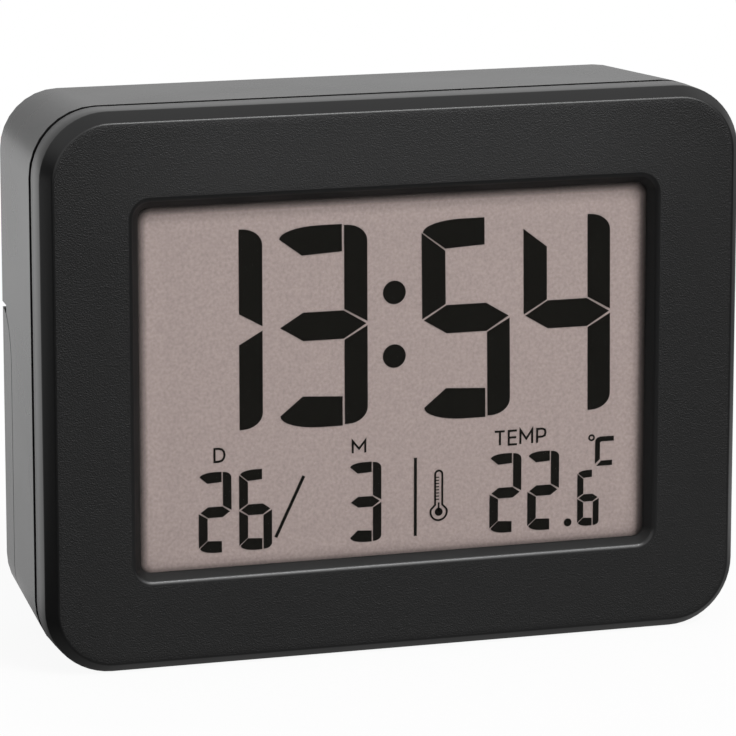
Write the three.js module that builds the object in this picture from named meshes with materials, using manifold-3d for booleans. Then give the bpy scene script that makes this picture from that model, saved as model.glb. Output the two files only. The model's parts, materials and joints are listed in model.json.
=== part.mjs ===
// A digital alarm clock with a framed display, a fold-out stand and a battery bay behind it.
// Millimetres. X runs to the viewer's right, Y away from the viewer, Z up.
// The origin lies under the middle of the clock, on the surface that it stands on.
import * as THREE from "three";
import { mergeVertices } from "three/addons/utils/BufferGeometryUtils.js";
import Module from "manifold-3d";

// Clearances
const FIT = 0.3; // between pieces that are assembled by hand
const CLOSE_FIT = 0.15; // round a screw, a pin end or a plunger

// Casing
const WIDTH = 105;
const HEIGHT = 81;
const CORNER_R = 9.8;
const WALL = 1.8;
const BEZEL_DEPTH = 7; // face to the rear edge of the front frame
const EDGE_INSET = 1.45; // smooth bevel round the face, across
const EDGE_DEPTH = 2.1; // smooth bevel round the face, in depth
const GROOVE = 1.2; // shadow line between front frame and rear casing
const COVER_DEPTH = 27.1; // rear casing behind the shadow line
const SIDE_DRAFT = 2.1; // how far each side leans in over the rear casing
const TOP_DRAFT = 1.2;
const BASE_DRAFT = 2;
const REAR_CORNER_R = 8.6;
const REAR_EDGE = 0.8; // bevel round the rear edges
const TONGUE_LENGTH = 2.7; // rear casing inside the front frame
const TONGUE_WALL = 1.4;
const FOOT_WIDTH = 12;
const FOOT_DEPTH = 5;
const FOOT_SPACING = 72; // between the middles of the two feet
const FOOT_FROM_FACE = 20;

// Window in the front frame
const BORDER_LEFT = 12.75; // face between the casing's side and the window
const BORDER_RIGHT = 13.15;
const WINDOW_HEIGHT = 55.4;
const WINDOW_R = 2.8;
const WINDOW_Z = 0.2; // middle of the window above the middle of the face
const BEVEL = 1.25; // sloping border of the window, across
const BEVEL_DEPTH = 1.4;
const LAND = 0.2; // straight edge behind the sloping border
const LENS_THICKNESS = 1;
const LENS_MARGIN = 2; // lens under the frame, on each side

// Display
const LCD_MARGIN = 2.6; // display under the frame, on each side
const LCD_FACE_THICKNESS = 0.4;
const LCD_SEGMENTS_THICKNESS = 0.3;
const LCD_GLASS_THICKNESS = 1.6;
const LCD_FRAME_WALL = 1;
const ZEBRA_THICKNESS = 2.4; // between glass and board
const ZEBRA_WIDTH = 2;
const ZEBRA_INSET = 1.2; // from the upper and lower edge of the glass
const ZEBRA_END = 3; // from the side edge of the glass

// Figures on the display, from the middle of the face
const BIG_DIGIT = { width: 13.25, height: 29.3, bar: 3.4, beam: 3.95, gap: 0.34 };
const SMALL_DIGIT = { width: 4.75, height: 11.8, bar: 1.15, beam: 1.5, gap: 0.22 };
const TENTH_DIGIT = { width: 3.3, height: 8.35, bar: 0.75, beam: 1.05, gap: 0.2 };
const UNIT_DIGIT = { width: 2.85, height: 4.3, bar: 0.62, beam: 0.66, gap: 0.07 };
const TIME_Z = -6.9;
const TIME_X = [-33, -17.4, 4.2, 19.75];
const TIME_FIGURES = ["1", "3", "5", "4"];
const DATE_Z = -24.35;
const DATE_X = [-29.4, -23.35, -6.8];
const DATE_FIGURES = ["2", "6", "3"];
const TEMPERATURE_Z = -24.5;
const TEMPERATURE_X = [14.75, 20.62];
const TEMPERATURE_FIGURES = ["2", "2"];
const TENTH_X = 28.44;
const UNIT_X = 31.1;
const UNIT_Z = -15.6;
const DOT_R = 1.59;
const DOT_Z = [12.15, 2.8];
const POINT_X = 26.88;
const POINT_Z = -23.85;
const POINT_R = 0.52;
const LINE_WIDTH = 0.33;
const SLASH = { x: [-17.85, -13.78], z: [-22.8, -14] };
const DIVIDER_X = 3.25;
const DIVIDER_Z = [-24.15, -12.5];

// Main board and its parts
const BOARD_THICKNESS = 1.6;
const BOARD_R = 1; // corners of both boards
const BOARD_POST_R = 2.2;
const BOARD_POST_Z = 24; // from the middle
const BOARD_EDGE_GAP = 0.6;
const CHIP_R = 6.5;
const CHIP_HEIGHT = 1.5;
const CRYSTAL_R = 1.5;
const CRYSTAL_LENGTH = 8;
const CAPACITOR_R = 2.5;
const CAPACITOR_HEIGHT = 7;
const BUZZER_R = 6;
const BUZZER_HEIGHT = 8.5;
const BUZZER_HOLE_R = 1;
const BUZZER_HOLE_DEPTH = 1.5;
const BUZZER_EDGE = 0.6;
const SENSOR_R = 1.4;
const SENSOR_LEAD = 5;
const SENSOR_WIRE_R = 0.3;
const SENSOR_WIRE_X = 0.7; // of each wire from the middle of the sensor
const CHIP_PLACE = [-6, -8]; // on the board, from the middle of the clock
const BUZZER_PLACE = [-20, 20];
const CRYSTAL_PLACE = [-4, 8];
const CAPACITOR_X = [28, 35];
const CAPACITOR_Z = 14;
const SENSOR_PLACE = [38, -20];

// Screws
const BOARD_SCREW = { head: 1.9, headHeight: 1.3, shank: 0.9, length: 5.5 };
const CASE_SCREW = { head: 2.2, headHeight: 1.6, shank: 1.1, length: 9 };
const POST_R = 2.4; // posts on the front frame that take the casing screws
const BOSS_R = 3.3; // bosses on the rear casing that the casing screws pass
const BOSS_FLOOR = 5.7; // material under a casing screw's head
const WELL_R = 2.6;

// Keys and key board
const KEY_R = 3.8;
const KEY_PITCH = 11.5;
const KEY_Z = 19.3; // row of keys above the middle
const KEY_FLANGE = 0.8; // how far a key is wider inside the casing
const KEY_FLANGE_THICKNESS = 0.9;
const KEY_STEM_R = 1.5;
const KEY_STEM = 0.6;
const KEY_SINK = 0.2; // key top below the rear face
const KEY_EDGE = 0.5; // bevel round the key top
const WIDE_KEY_WIDTH = 11;
const WIDE_KEY_SPACE = 2.7; // between the last round key and the wide one
const KEY_FIELD_DEPTH = 0.6; // shallow recess round the keys
const KEY_FIELD_MARGIN = 3;
const FIRST_KEY_X = -28;
const SWITCH_SIZE = 6;
const SWITCH_HEIGHT = 3.4;
const PLUNGER_R = 1.7;
const PLUNGER_REACH = 1.5; // out of its switch
const PLUNGER_SUNK = 1; // inside its switch
const PLUNGER_HOLE = 1.8;
const KEY_BOARD_HEIGHT = 16;
const KEY_BOARD_END = 3; // from the middle of a screw to the end of the key board
const SCREW_FROM_SLIDE = 3.2; // from the slide switch to the middle of a key board screw
const SLIDE_END = 1.5; // slide switch beside its slot
const KNOB_X = 31;
const KNOB_WIDTH = 4;
const KNOB_HEIGHT = 5;
const KNOB_TRAVEL = 4; // from off to on
const KNOB_FLANGE = 0.6;
const KNOB_GROOVE = 0.4; // finger grooves across the knob, width and depth
const KNOB_GROOVE_PITCH = 1.2;
const LEVER_WIDTH = 2;
const LEVER_THICKNESS = 1.8;
const LEVER_SUNK = 0.6;
const VENT_COUNT = 9;
const VENT_PITCH = 3.6;
const VENT_WIDTH = 1.4;
const VENT_HEIGHT = 7;
const VENT_Z = 32;

// Stand
const STAND_DEPTH = 8.2;
const STAND_TOP = 7.35; // above the middle
const STAND_WALL = 2;
const STAND_SINK = 0.2; // stand below the rear face
const PIN_R = 1.2;
const PIN_LENGTH = 3.2; // from the outer side of its lug inwards
const LUG_WIDTH = 3;
const LUG_WALL = 0.9;
const LUG_NOTCH = 0.6; // free space round a lug
const RELIEF_HEIGHT = 0.75; // casing cut away over the top of the stand, for its rear edge to swing past
const RELIEF_DEPTH = 4.1; // of that cut, from the rear face of the stand
const GRIP_R = 7; // finger cut in the lower rim of the stand
const GRIP_DEPTH = 3.5;

// Battery bay, door and cells
const CELL_R = 5.25;
const CELL_LENGTH = 43.5;
const NUB_R = 1.9;
const NUB_LENGTH = 1;
const CELL_SPACING = 11.2;
const SPRING_LENGTH = 4; // at the negative end, in use
const SPRING_R = 3.2;
const SPRING_TIP_R = 2.1;
const SPRING_WIRE_R = 0.35;
const SPRING_TURNS = 3;
const CONTACT_THICKNESS = 0.5;
const CONTACT_WIDTH = 8.4; // in depth
const CONTACT_HEIGHT = 8.8; // at one cell
const BAY_WALL = 1.4;
const BAY_Z = -15.5; // middle of the bay from the middle of the clock
const BAY_SIDE_GAP = 0.4;
const TAB_WIDTH = 2;
const TAB_REACH = 1.6; // through the floor of the bay
const DOOR_THICKNESS = 1.6;
const DOOR_OVERLAP = 2.4; // door past the bay on each side
const DOOR_R = 1.5;
const RAIL_WALL = 1.4;
const RAIL_LIP = 1.4;
const RAIL_LIP_THICKNESS = 1.1;
const DOOR_RIDGES = 5;
const DOOR_RIDGE_PITCH = 1.8;
const DOOR_RIDGE_SIZE = 0.7;
const DOOR_RIDGE_LENGTH = 14;

// Wiring
const RIBBON_WIDTH = 8;
const RIBBON_THICKNESS = 0.8;
const RIBBON_X = 12;
const RIBBON_DROP = [9, 3]; // of its ends below the row of keys
const WIRE_R = 0.6;

// Steps of round shapes
const CORNER_STEPS = 8;
const SMALL_CORNER_STEPS = 3;
const WINDOW_CORNER_STEPS = 5;
const ROUND_STEPS = 24;
const SMALL_ROUND_STEPS = 14;
const LARGE_CORNER = 3.5; // radius over which a corner takes more steps
const ROUND_END = 0.01; // straight part left between the two corners of a round end
const VERTEX_MERGE = 1e-4;

// Places that follow from the sizes
const DEPTH = BEZEL_DEPTH + GROOVE + COVER_DEPTH;
const MIDDLE = HEIGHT / 2;
const at = (depth) => depth - DEPTH / 2; // Y of a depth behind the face
const coverFront = BEZEL_DEPTH + GROOVE;
const windowWidth = WIDTH - BORDER_LEFT - BORDER_RIGHT;
const windowX = (BORDER_LEFT - BORDER_RIGHT) / 2; // middle of the window beside the middle of the face
const openingWidth = windowWidth - 2 * BEVEL;
const openingHeight = WINDOW_HEIGHT - 2 * BEVEL;
const openingR = WINDOW_R - BEVEL;
const lensFront = BEVEL_DEPTH + LAND;
const plateBack = lensFront + LENS_THICKNESS;
const lcdFront = plateBack + FIT;
const segmentsFront = lcdFront + LCD_FACE_THICKNESS;
const glassFront = segmentsFront + LCD_SEGMENTS_THICKNESS;
const zebraFront = glassFront + LCD_GLASS_THICKNESS;
const boardFront = zebraFront + ZEBRA_THICKNESS;
const boardBack = boardFront + BOARD_THICKNESS;
const lcdWidth = openingWidth + 2 * LCD_MARGIN;
const lcdHeight = openingHeight + 2 * LCD_MARGIN;
const frameWidth = lcdWidth + 2 * (FIT + LCD_FRAME_WALL);
const frameHeight = lcdHeight + 2 * (FIT + LCD_FRAME_WALL);
const frameReachX = frameWidth / 2 + Math.abs(windowX);
const frameReachZ = frameHeight / 2 + Math.abs(WINDOW_Z);
const caseScrewX = frameReachX + 1.1;
const caseScrewZ = frameReachZ + BOSS_R + FIT;
const boardPostX = frameReachX + BOARD_POST_R + FIT;
const cavityWidth = WIDTH - 2 * WALL;
const cavityHeight = HEIGHT - 2 * WALL;
const cavityR = CORNER_R - WALL;
const tongueInset = WALL + FIT;
const tongueInnerInset = tongueInset + TONGUE_WALL;
const boardWidth = WIDTH - 2 * (tongueInnerInset + BOARD_EDGE_GAP);
const boardHeight = 2 * (caseScrewZ - BOSS_R - BOARD_EDGE_GAP);
const rearInside = DEPTH - WALL;
const keyFlangeBack = rearInside - FIT;
const keyFlangeFront = keyFlangeBack - KEY_FLANGE_THICKNESS;
const plungerBack = keyFlangeFront - KEY_STEM;
const switchBack = plungerBack - PLUNGER_REACH;
const keyBoardBack = switchBack - SWITCH_HEIGHT;
const keyBoardFront = keyBoardBack - BOARD_THICKNESS;
const keyTop = DEPTH - KEY_SINK;
const slideSlotWidth = KNOB_TRAVEL + LEVER_WIDTH + 2 * FIT;
const slideWidth = slideSlotWidth + 2 * SLIDE_END;
const keyBoardScrewX = KNOB_X + slideWidth / 2 + SCREW_FROM_SLIDE;
const keyBoardWidth = 2 * (keyBoardScrewX + KEY_BOARD_END);
const standBack = DEPTH - STAND_SINK;
const standFront = standBack - STAND_DEPTH;
const stepBack = standFront - FIT;
const stepFront = stepBack - WALL;
const standRound = STAND_DEPTH - REAR_EDGE; // radius of the stand's upper edge towards the casing
const lugR = PIN_R + FIT + LUG_WALL;
const hingeDepth = standBack - lugR;
const hingeZ = STAND_TOP - lugR;
const rimInnerX = (depth) => WIDTH / 2 - (SIDE_DRAFT * (depth - coverFront)) / COVER_DEPTH - STAND_WALL;
const lugOuterX = rimInnerX(standBack) - FIT;
const bayLength = CELL_LENGTH + NUB_LENGTH + FIT + SPRING_LENGTH + 2 * CONTACT_THICKNESS;
const bayHeight = CELL_SPACING + 2 * (CELL_R + BAY_SIDE_GAP);
const bayDepth = 2 * CELL_R + 2 * FIT;
const bayFloor = stepBack - bayDepth - FIT;
const cellDepth = bayFloor + FIT + CELL_R;
const doorFront = stepBack + FIT;
const doorBack = doorFront + DOOR_THICKNESS;
const doorWidth = bayLength + 2 * DOOR_OVERLAP;
const doorHeight = bayHeight + 2 * DOOR_OVERLAP;

const AXIS_X = new THREE.Vector3(1, 0, 0);
const AXIS_Y = new THREE.Vector3(0, 1, 0);
const AXIS_Z = new THREE.Vector3(0, 0, 1);

const wasm = await Module();
wasm.setup();

// A closed three.js geometry as a solid that can be joined and cut.
function solid(geometry) {
  const bare = geometry.index ? geometry.toNonIndexed() : geometry.clone();
  for (const name of ["normal", "uv"]) bare.deleteAttribute(name);
  const merged = mergeVertices(bare, VERTEX_MERGE);
  const mesh = new wasm.Mesh({
    numProp: 3,
    vertProperties: merged.attributes.position.array,
    triVerts: new Uint32Array(merged.index.array),
  });
  return new wasm.Manifold(mesh);
}

// The geometry of a finished solid.
function geometryOf(shape) {
  const mesh = shape.getMesh();
  const positions = new THREE.BufferAttribute(new Float32Array(mesh.vertProperties), 3);
  const geometry = new THREE.BufferGeometry().setAttribute("position", positions);
  geometry.setIndex(new THREE.BufferAttribute(new Uint32Array(mesh.triVerts), 1));
  geometry.computeVertexNormals();
  return geometry;
}

// Points on a quarter turn or more, counted in quarters of a turn.
function arcPoints(x, z, radius, from, to, steps) {
  return Array.from({ length: steps + 1 }, (_, step) => {
    const angle = THREE.MathUtils.lerp(from, to, step / steps) * (Math.PI / 2);
    return new THREE.Vector2(x + radius * Math.cos(angle), z + radius * Math.sin(angle));
  });
}

const stepsFor = (radius) => (radius > LARGE_CORNER ? CORNER_STEPS : SMALL_CORNER_STEPS);

// A rounded rectangle in X and Z, round from its lower right corner.
function roundedPoints(width, height, radius, x = 0, z = 0, steps = stepsFor(radius)) {
  const corners = [[1, -1], [1, 1], [-1, 1], [-1, -1]];
  return corners.flatMap(([sx, sz], corner) => {
    const cx = x + sx * (width / 2 - radius);
    const cz = z + sz * (height / 2 - radius);
    return arcPoints(cx, cz, radius, corner - 1, corner, steps);
  });
}

// A flat outline in X and Z, with any holes, from one depth behind the face to another.
function plate(points, front, back, holes = []) {
  const shape = new THREE.Shape(points);
  shape.holes = holes.map((hole) => new THREE.Path(hole));
  const geometry = new THREE.ExtrudeGeometry(shape, { depth: back - front, bevelEnabled: false });
  return geometry.rotateX(Math.PI / 2).translate(0, at(back), MIDDLE);
}

// A side outline in depth and Z, carried across from one X to another.
function across(points, x0, x1) {
  const shape = new THREE.Shape(points.map((p) => new THREE.Vector2(at(p.x), MIDDLE + p.y)));
  const geometry = new THREE.ExtrudeGeometry(shape, { depth: x1 - x0, bevelEnabled: false });
  const turn = new THREE.Matrix4().makeBasis(AXIS_Y, AXIS_Z, AXIS_X);
  return geometry.applyMatrix4(turn).translate(x0, 0, 0);
}

// A box between two depths, with its X and Z given by its middle and size.
function block(x, z, width, height, front, back) {
  const geometry = new THREE.BoxGeometry(width, back - front, height);
  return geometry.translate(x, at((front + back) / 2), MIDDLE + z);
}

// A cylinder along the depth.
function post(x, z, radius, front, back, steps = SMALL_ROUND_STEPS) {
  const geometry = new THREE.CylinderGeometry(radius, radius, back - front, steps);
  return geometry.translate(x, at((front + back) / 2), MIDDLE + z);
}

// A cylinder along X.
function crossPin(x0, x1, depth, z, radius, steps = SMALL_ROUND_STEPS) {
  const geometry = new THREE.CylinderGeometry(radius, radius, x1 - x0, steps);
  return geometry.rotateZ(Math.PI / 2).translate((x0 + x1) / 2, at(depth), MIDDLE + z);
}

// A closed skin over outlines at rising depths: [{ depth, points }].
function loft(rings) {
  const count = rings[0].points.length;
  const place = (ring) => ring.points.flatMap((p) => [p.x, at(ring.depth), MIDDLE + p.y]);
  const positions = rings.flatMap(place);
  const index = [];
  for (let ring = 0; ring < rings.length - 1; ring++) {
    for (let i = 0; i < count; i++) {
      const a = ring * count + i;
      const b = ring * count + ((i + 1) % count);
      index.push(a, a + count, b, b, a + count, b + count);
    }
  }
  const last = (rings.length - 1) * count;
  for (const [a, b, c] of THREE.ShapeUtils.triangulateShape(rings[0].points, [])) index.push(a, b, c);
  for (const [a, b, c] of THREE.ShapeUtils.triangulateShape(rings.at(-1).points, [])) {
    index.push(last + c, last + b, last + a);
  }
  const geometry = new THREE.BufferGeometry();
  geometry.setAttribute("position", new THREE.Float32BufferAttribute(positions, 3));
  return geometry.setIndex(index);
}

// The leaning outline of the rear casing at a depth, drawn in by an inset on every side.
function coverRing(depth, inset = 0) {
  const t = (depth - coverFront) / COVER_DEPTH;
  const width = WIDTH - 2 * (SIDE_DRAFT * t + inset);
  const height = HEIGHT - (TOP_DRAFT + BASE_DRAFT) * t - 2 * inset;
  const radius = THREE.MathUtils.lerp(CORNER_R, REAR_CORNER_R, t) - inset;
  const z = ((BASE_DRAFT - TOP_DRAFT) / 2) * t;
  return { depth, points: roundedPoints(width, height, radius, 0, z) };
}

// Adds a piece to a group, with a material of its own.
function piece(parent, name, geometry, finish, place = [0, 0, 0]) {
  const mesh = new THREE.Mesh(geometry, new THREE.MeshStandardMaterial(finish));
  mesh.name = name;
  mesh.position.set(...place);
  parent.add(mesh);
  return mesh;
}

const finishes = {
  casing: { color: 0x242425, roughness: 0.45, metalness: 0 },
  face: { color: 0x2b2b2c, roughness: 0.62, metalness: 0 },
  key: { color: 0x343436, roughness: 0.55, metalness: 0 },
  lens: { color: 0xe8f0f0, roughness: 0.05, metalness: 0, transparent: true, opacity: 0.15 },
  lcdGround: { color: 0xa3958e, roughness: 0.5, metalness: 0 },
  lcdDark: { color: 0x1a1914, roughness: 0.4, metalness: 0 },
  glass: { color: 0xaab5ac, roughness: 0.1, metalness: 0 },
  holder: { color: 0xd9d9d4, roughness: 0.6, metalness: 0 },
  rubber: { color: 0x8d8f94, roughness: 0.85, metalness: 0 },
  board: { color: 0x1f5a38, roughness: 0.5, metalness: 0 },
  epoxy: { color: 0x111112, roughness: 0.3, metalness: 0 },
  steel: { color: 0xb9bcc0, roughness: 0.35, metalness: 1 },
  darkMetal: { color: 0x44464a, roughness: 0.4, metalness: 1 },
  sleeve: { color: 0x20305a, roughness: 0.4, metalness: 0 },
  cell: { color: 0x3c6f4a, roughness: 0.35, metalness: 0.2 },
  cable: { color: 0x9a9ca0, roughness: 0.6, metalness: 0 },
  wireRed: { color: 0xa02020, roughness: 0.5, metalness: 0 },
  wireBlack: { color: 0x161616, roughness: 0.5, metalness: 0 },
};

// The posts of the front frame that take the casing screws, and their places.
const caseScrewPlaces = [1, -1].flatMap((sz) => [-1, 1].map((sx) => [sx * caseScrewX, sz * caseScrewZ]));
const boardScrewPlaces = [1, -1].flatMap((sz) => [-1, 1].map((sx) => [sx * boardPostX, sz * BOARD_POST_Z]));

// Front frame: bevelled rim, face with a window, lens pocket and screw posts.
function frontBezel() {
  const faceSize = [WIDTH - 2 * EDGE_INSET, HEIGHT - 2 * EDGE_INSET];
  const rim = [
    { depth: 0, points: roundedPoints(...faceSize, CORNER_R - EDGE_INSET) },
    { depth: EDGE_DEPTH, points: roundedPoints(WIDTH, HEIGHT, CORNER_R) },
    { depth: BEZEL_DEPTH, points: roundedPoints(WIDTH, HEIGHT, CORNER_R) },
  ];
  const windowRing = (depth, spread) => {
    const size = [windowWidth + 2 * spread, WINDOW_HEIGHT + 2 * spread, WINDOW_R + spread];
    return { depth, points: roundedPoints(...size, windowX, WINDOW_Z, WINDOW_CORNER_STEPS) };
  };
  const border = loft([
    windowRing(-BEVEL_DEPTH, BEVEL), windowRing(BEVEL_DEPTH, -BEVEL), windowRing(plateBack + FIT, -BEVEL),
  ]);
  const lensWidth = openingWidth + 2 * (LENS_MARGIN + FIT);
  const lensHeight = openingHeight + 2 * (LENS_MARGIN + FIT);
  const pocket = roundedPoints(lensWidth, lensHeight, openingR + LENS_MARGIN, windowX, WINDOW_Z);
  let body = solid(loft(rim));
  const cavity = roundedPoints(cavityWidth, cavityHeight, cavityR);
  body = body.subtract(solid(plate(cavity, plateBack, BEZEL_DEPTH + FIT)));
  for (const [x, z] of caseScrewPlaces) {
    body = body.add(solid(post(x, z, POST_R, lensFront, BEZEL_DEPTH)));
  }
  for (const [x, z] of boardScrewPlaces) {
    body = body.add(solid(post(x, z, BOARD_POST_R, lensFront, boardFront)));
  }
  body = body.subtract(solid(border));
  body = body.subtract(solid(plate(pocket, lensFront, plateBack + FIT)));
  for (const [x, z] of caseScrewPlaces) {
    const pilotEnd = coverFront + BOSS_FLOOR - CASE_SCREW.length - FIT;
    body = body.subtract(solid(post(x, z, CASE_SCREW.shank + CLOSE_FIT, pilotEnd, BEZEL_DEPTH + FIT)));
  }
  for (const [x, z] of boardScrewPlaces) {
    const pilotEnd = boardBack - BOARD_SCREW.length - FIT;
    body = body.subtract(solid(post(x, z, BOARD_SCREW.shank + CLOSE_FIT, pilotEnd, boardFront + FIT)));
  }
  return geometryOf(body);
}

// Clear sheet behind the window.
function windowLens() {
  const width = openingWidth + 2 * LENS_MARGIN;
  const height = openingHeight + 2 * LENS_MARGIN;
  const outline = roundedPoints(width, height, openingR + LENS_MARGIN, windowX, WINDOW_Z);
  return plate(outline, lensFront, plateBack);
}

// The seven bars of a figure, as outlines from its lower left corner.
// a is the top, then clockwise b to f, and g is the middle one.
function figureBars({ width, height, bar, beam, gap }) {
  const middle = height / 2;
  const tip = 0.45 * beam; // how far the pointed end of a beam lies below its top
  const lean = 1.08 * beam; // drop of the inner corner of the top beam
  const beamEnd = width - bar - gap;
  const roundX = Math.min(0.45 * width, beamEnd);
  const quarter = Math.PI / 2;
  const arc = (steps, shape) => Array.from({ length: steps + 1 }, (_, i) => shape((i / steps) * quarter));
  const top = [
    ...arc(3, (t) => [roundX * (1 - Math.cos(t)), height - tip + tip * Math.sin(t)]),
    [beamEnd, height],
    [beamEnd, height - beam],
    [bar, height - lean],
  ];
  const cornerR = 0.72 * bar;
  const upperRight = [
    [width - bar, height],
    ...arc(3, (t) => [width - cornerR + cornerR * Math.sin(t), height - cornerR + cornerR * Math.cos(t)]),
    [width, middle + 1.7 * gap],
    [width - bar, middle + beam / 2 + 0.8 * gap],
  ];
  const upperLeft = [
    [0, height - tip - 1.3 * gap],
    [bar, height - lean - 0.9 * gap],
    [bar, middle + beam / 2 + 0.8 * gap],
    [0, middle + 1.7 * gap],
  ];
  const centre = [
    [1.3 * gap, middle],
    [bar + 0.4 * gap, middle + beam / 2],
    [beamEnd + 0.6 * gap, middle + beam / 2],
    [width - 1.3 * gap, middle],
    [beamEnd + 0.6 * gap, middle - beam / 2],
    [bar + 0.4 * gap, middle - beam / 2],
  ];
  const down = (points) => points.map(([x, z]) => [x, height - z]);
  const lower = { c: down(upperRight), d: down(top), e: down(upperLeft) };
  return { a: top, b: upperRight, ...lower, f: upperLeft, g: centre };
}

const LIT_BARS = { 1: "bc", 2: "abged", 3: "abgcd", 4: "fgbc", 5: "afgcd", 6: "afgedc", C: "afed" };

// The lit bars of one figure, placed on the display.
function figure(symbol, size, x, z) {
  const bars = figureBars(size);
  const moved = (bar) => bar.map(([px, pz]) => new THREE.Vector2(x + px, z + pz));
  return [...LIT_BARS[symbol]].map((name) => moved(bars[name]));
}

// A round outline.
function dot(x, z, radius, steps = SMALL_ROUND_STEPS) {
  return arcPoints(x, z, radius, 0, 4 - 4 / steps, steps - 1);
}

// A straight line of the display between two points.
function stroke(x0, z0, x1, z1) {
  const across = new THREE.Vector2(z0 - z1, x1 - x0).setLength(LINE_WIDTH / 2);
  return [[x0, z0, 1], [x0, z0, -1], [x1, z1, -1], [x1, z1, 1]].map(
    ([x, z, side]) => new THREE.Vector2(x + side * across.x, z + side * across.y),
  );
}

// Everything that shows dark on the display.
function litShapes() {
  return [
    ...TIME_X.flatMap((x, i) => figure(TIME_FIGURES[i], BIG_DIGIT, x, TIME_Z)),
    ...DATE_X.flatMap((x, i) => figure(DATE_FIGURES[i], SMALL_DIGIT, x, DATE_Z)),
    ...TEMPERATURE_X.flatMap((x, i) => figure(TEMPERATURE_FIGURES[i], SMALL_DIGIT, x, TEMPERATURE_Z)),
    ...figure("6", TENTH_DIGIT, TENTH_X, TEMPERATURE_Z),
    ...figure("C", UNIT_DIGIT, UNIT_X, UNIT_Z),
    ...DOT_Z.map((z) => dot(0, z, DOT_R)),
    dot(POINT_X, POINT_Z, POINT_R, CORNER_STEPS),
    stroke(SLASH.x[0], SLASH.z[0], SLASH.x[1], SLASH.z[1]),
    stroke(DIVIDER_X, DIVIDER_Z[0], DIVIDER_X, DIVIDER_Z[1]),
  ];
}

// Pale sheet of the display, open where a figure is lit.
function lcdFace() {
  let body = solid(plate(displayPoints(), lcdFront, segmentsFront));
  for (const shape of litShapes()) {
    body = body.subtract(solid(plate(shape, lcdFront - FIT, segmentsFront + FIT)));
  }
  return geometryOf(body);
}

// A rectangle of the display's size, changed by a margin.
const displayPoints = (margin = 0) =>
  roundedPoints(lcdWidth + 2 * margin, lcdHeight + 2 * margin, openingR + margin, windowX, WINDOW_Z);

// A screw along the depth, with its head's seat at the origin and its shank towards the face.
function screwGeometry({ head, headHeight, shank, length }) {
  const cap = new THREE.CylinderGeometry(0.8 * head, head, headHeight, SMALL_ROUND_STEPS);
  const rod = new THREE.CylinderGeometry(shank, 0.8 * shank, length + headHeight / 2, SMALL_ROUND_STEPS);
  let body = solid(cap.translate(0, headHeight / 2, 0));
  body = body.add(solid(rod.translate(0, (headHeight / 2 - length) / 2, 0)));
  const long = 1.1 * head;
  const narrow = 0.28 * head;
  for (const [width, height] of [[long, narrow], [narrow, long]]) {
    const slot = new THREE.BoxGeometry(width, headHeight, height);
    body = body.subtract(solid(slot.translate(0, headHeight, 0)));
  }
  return geometryOf(body);
}

// Main board with holes for its screws.
function mainBoard() {
  const holes = boardScrewPlaces.map(([x, z]) => dot(x, z, BOARD_SCREW.shank + FIT));
  return plate(roundedPoints(boardWidth, boardHeight, BOARD_R), boardFront, boardBack, holes);
}

// Low dome of epoxy over the clock chip.
function chipDome() {
  const profile = Array.from({ length: 5 }, (_, i) => {
    const angle = (i / 4) * (Math.PI / 2);
    return new THREE.Vector2(CHIP_R * Math.cos(angle), CHIP_HEIGHT * Math.sin(angle));
  });
  profile.at(-1).x = 0;
  return new THREE.LatheGeometry([new THREE.Vector2(0, 0), ...profile], ROUND_STEPS);
}

// Buzzer can with its sound hole.
function buzzerCan() {
  const holeFloor = BUZZER_HEIGHT - BUZZER_HOLE_DEPTH;
  const profile = [
    [0, 0], [BUZZER_R, 0], [BUZZER_R, BUZZER_HEIGHT - BUZZER_EDGE], [BUZZER_R - BUZZER_EDGE, BUZZER_HEIGHT],
    [BUZZER_HOLE_R, BUZZER_HEIGHT], [BUZZER_HOLE_R, holeFloor], [0, holeFloor],
  ];
  return new THREE.LatheGeometry(profile.map(([r, y]) => new THREE.Vector2(r, y)), ROUND_STEPS);
}

// Temperature bead on its two leads.
function sensorBead() {
  const bead = new THREE.SphereGeometry(SENSOR_R, 10, 6).translate(0, SENSOR_LEAD, 0);
  let body = solid(bead);
  for (const side of [-1, 1]) {
    const lead = new THREE.CylinderGeometry(SENSOR_WIRE_R, SENSOR_WIRE_R, SENSOR_LEAD, 6);
    body = body.add(solid(lead.translate(side * SENSOR_WIRE_X, SENSOR_LEAD / 2, 0)));
  }
  return geometryOf(body);
}

// X of each round key, the wide key and the knob, along the row.
const keyNames = ["set", "up", "down", "unit"];
const keyX = keyNames.map((_, i) => FIRST_KEY_X + i * KEY_PITCH);
const wideKeyX = keyX.at(-1) + KEY_R + WIDE_KEY_SPACE + WIDE_KEY_WIDTH / 2;
const switchNames = [...keyNames, "light"];
const switchX = [...keyX, wideKeyX];

// The outline of a key at X 0, grown by a margin: round, or wide with round ends.
function keyPoints(name, margin, x = 0) {
  const radius = KEY_R + margin;
  if (name !== "light") return dot(x, KEY_Z, radius, ROUND_STEPS);
  return roundedPoints(WIDE_KEY_WIDTH + 2 * margin, 2 * radius, radius - ROUND_END, x, KEY_Z, CORNER_STEPS);
}

// A key with the flange that holds it in the casing and the stem that pushes its switch.
function keyCap(name) {
  const edgeStart = keyTop - KEY_EDGE;
  let body = solid(plate(keyPoints(name, 0), keyFlangeFront + KEY_FLANGE_THICKNESS / 2, edgeStart));
  body = body.add(solid(loft([
    { depth: edgeStart, points: keyPoints(name, 0) },
    { depth: keyTop, points: keyPoints(name, -KEY_EDGE) },
  ])));
  body = body.add(solid(plate(keyPoints(name, KEY_FLANGE), keyFlangeFront, keyFlangeBack)));
  const stemEnd = keyFlangeFront + KEY_FLANGE_THICKNESS / 2;
  body = body.add(solid(post(0, KEY_Z, KEY_STEM_R, plungerBack, stemEnd)));
  return geometryOf(body);
}

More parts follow.
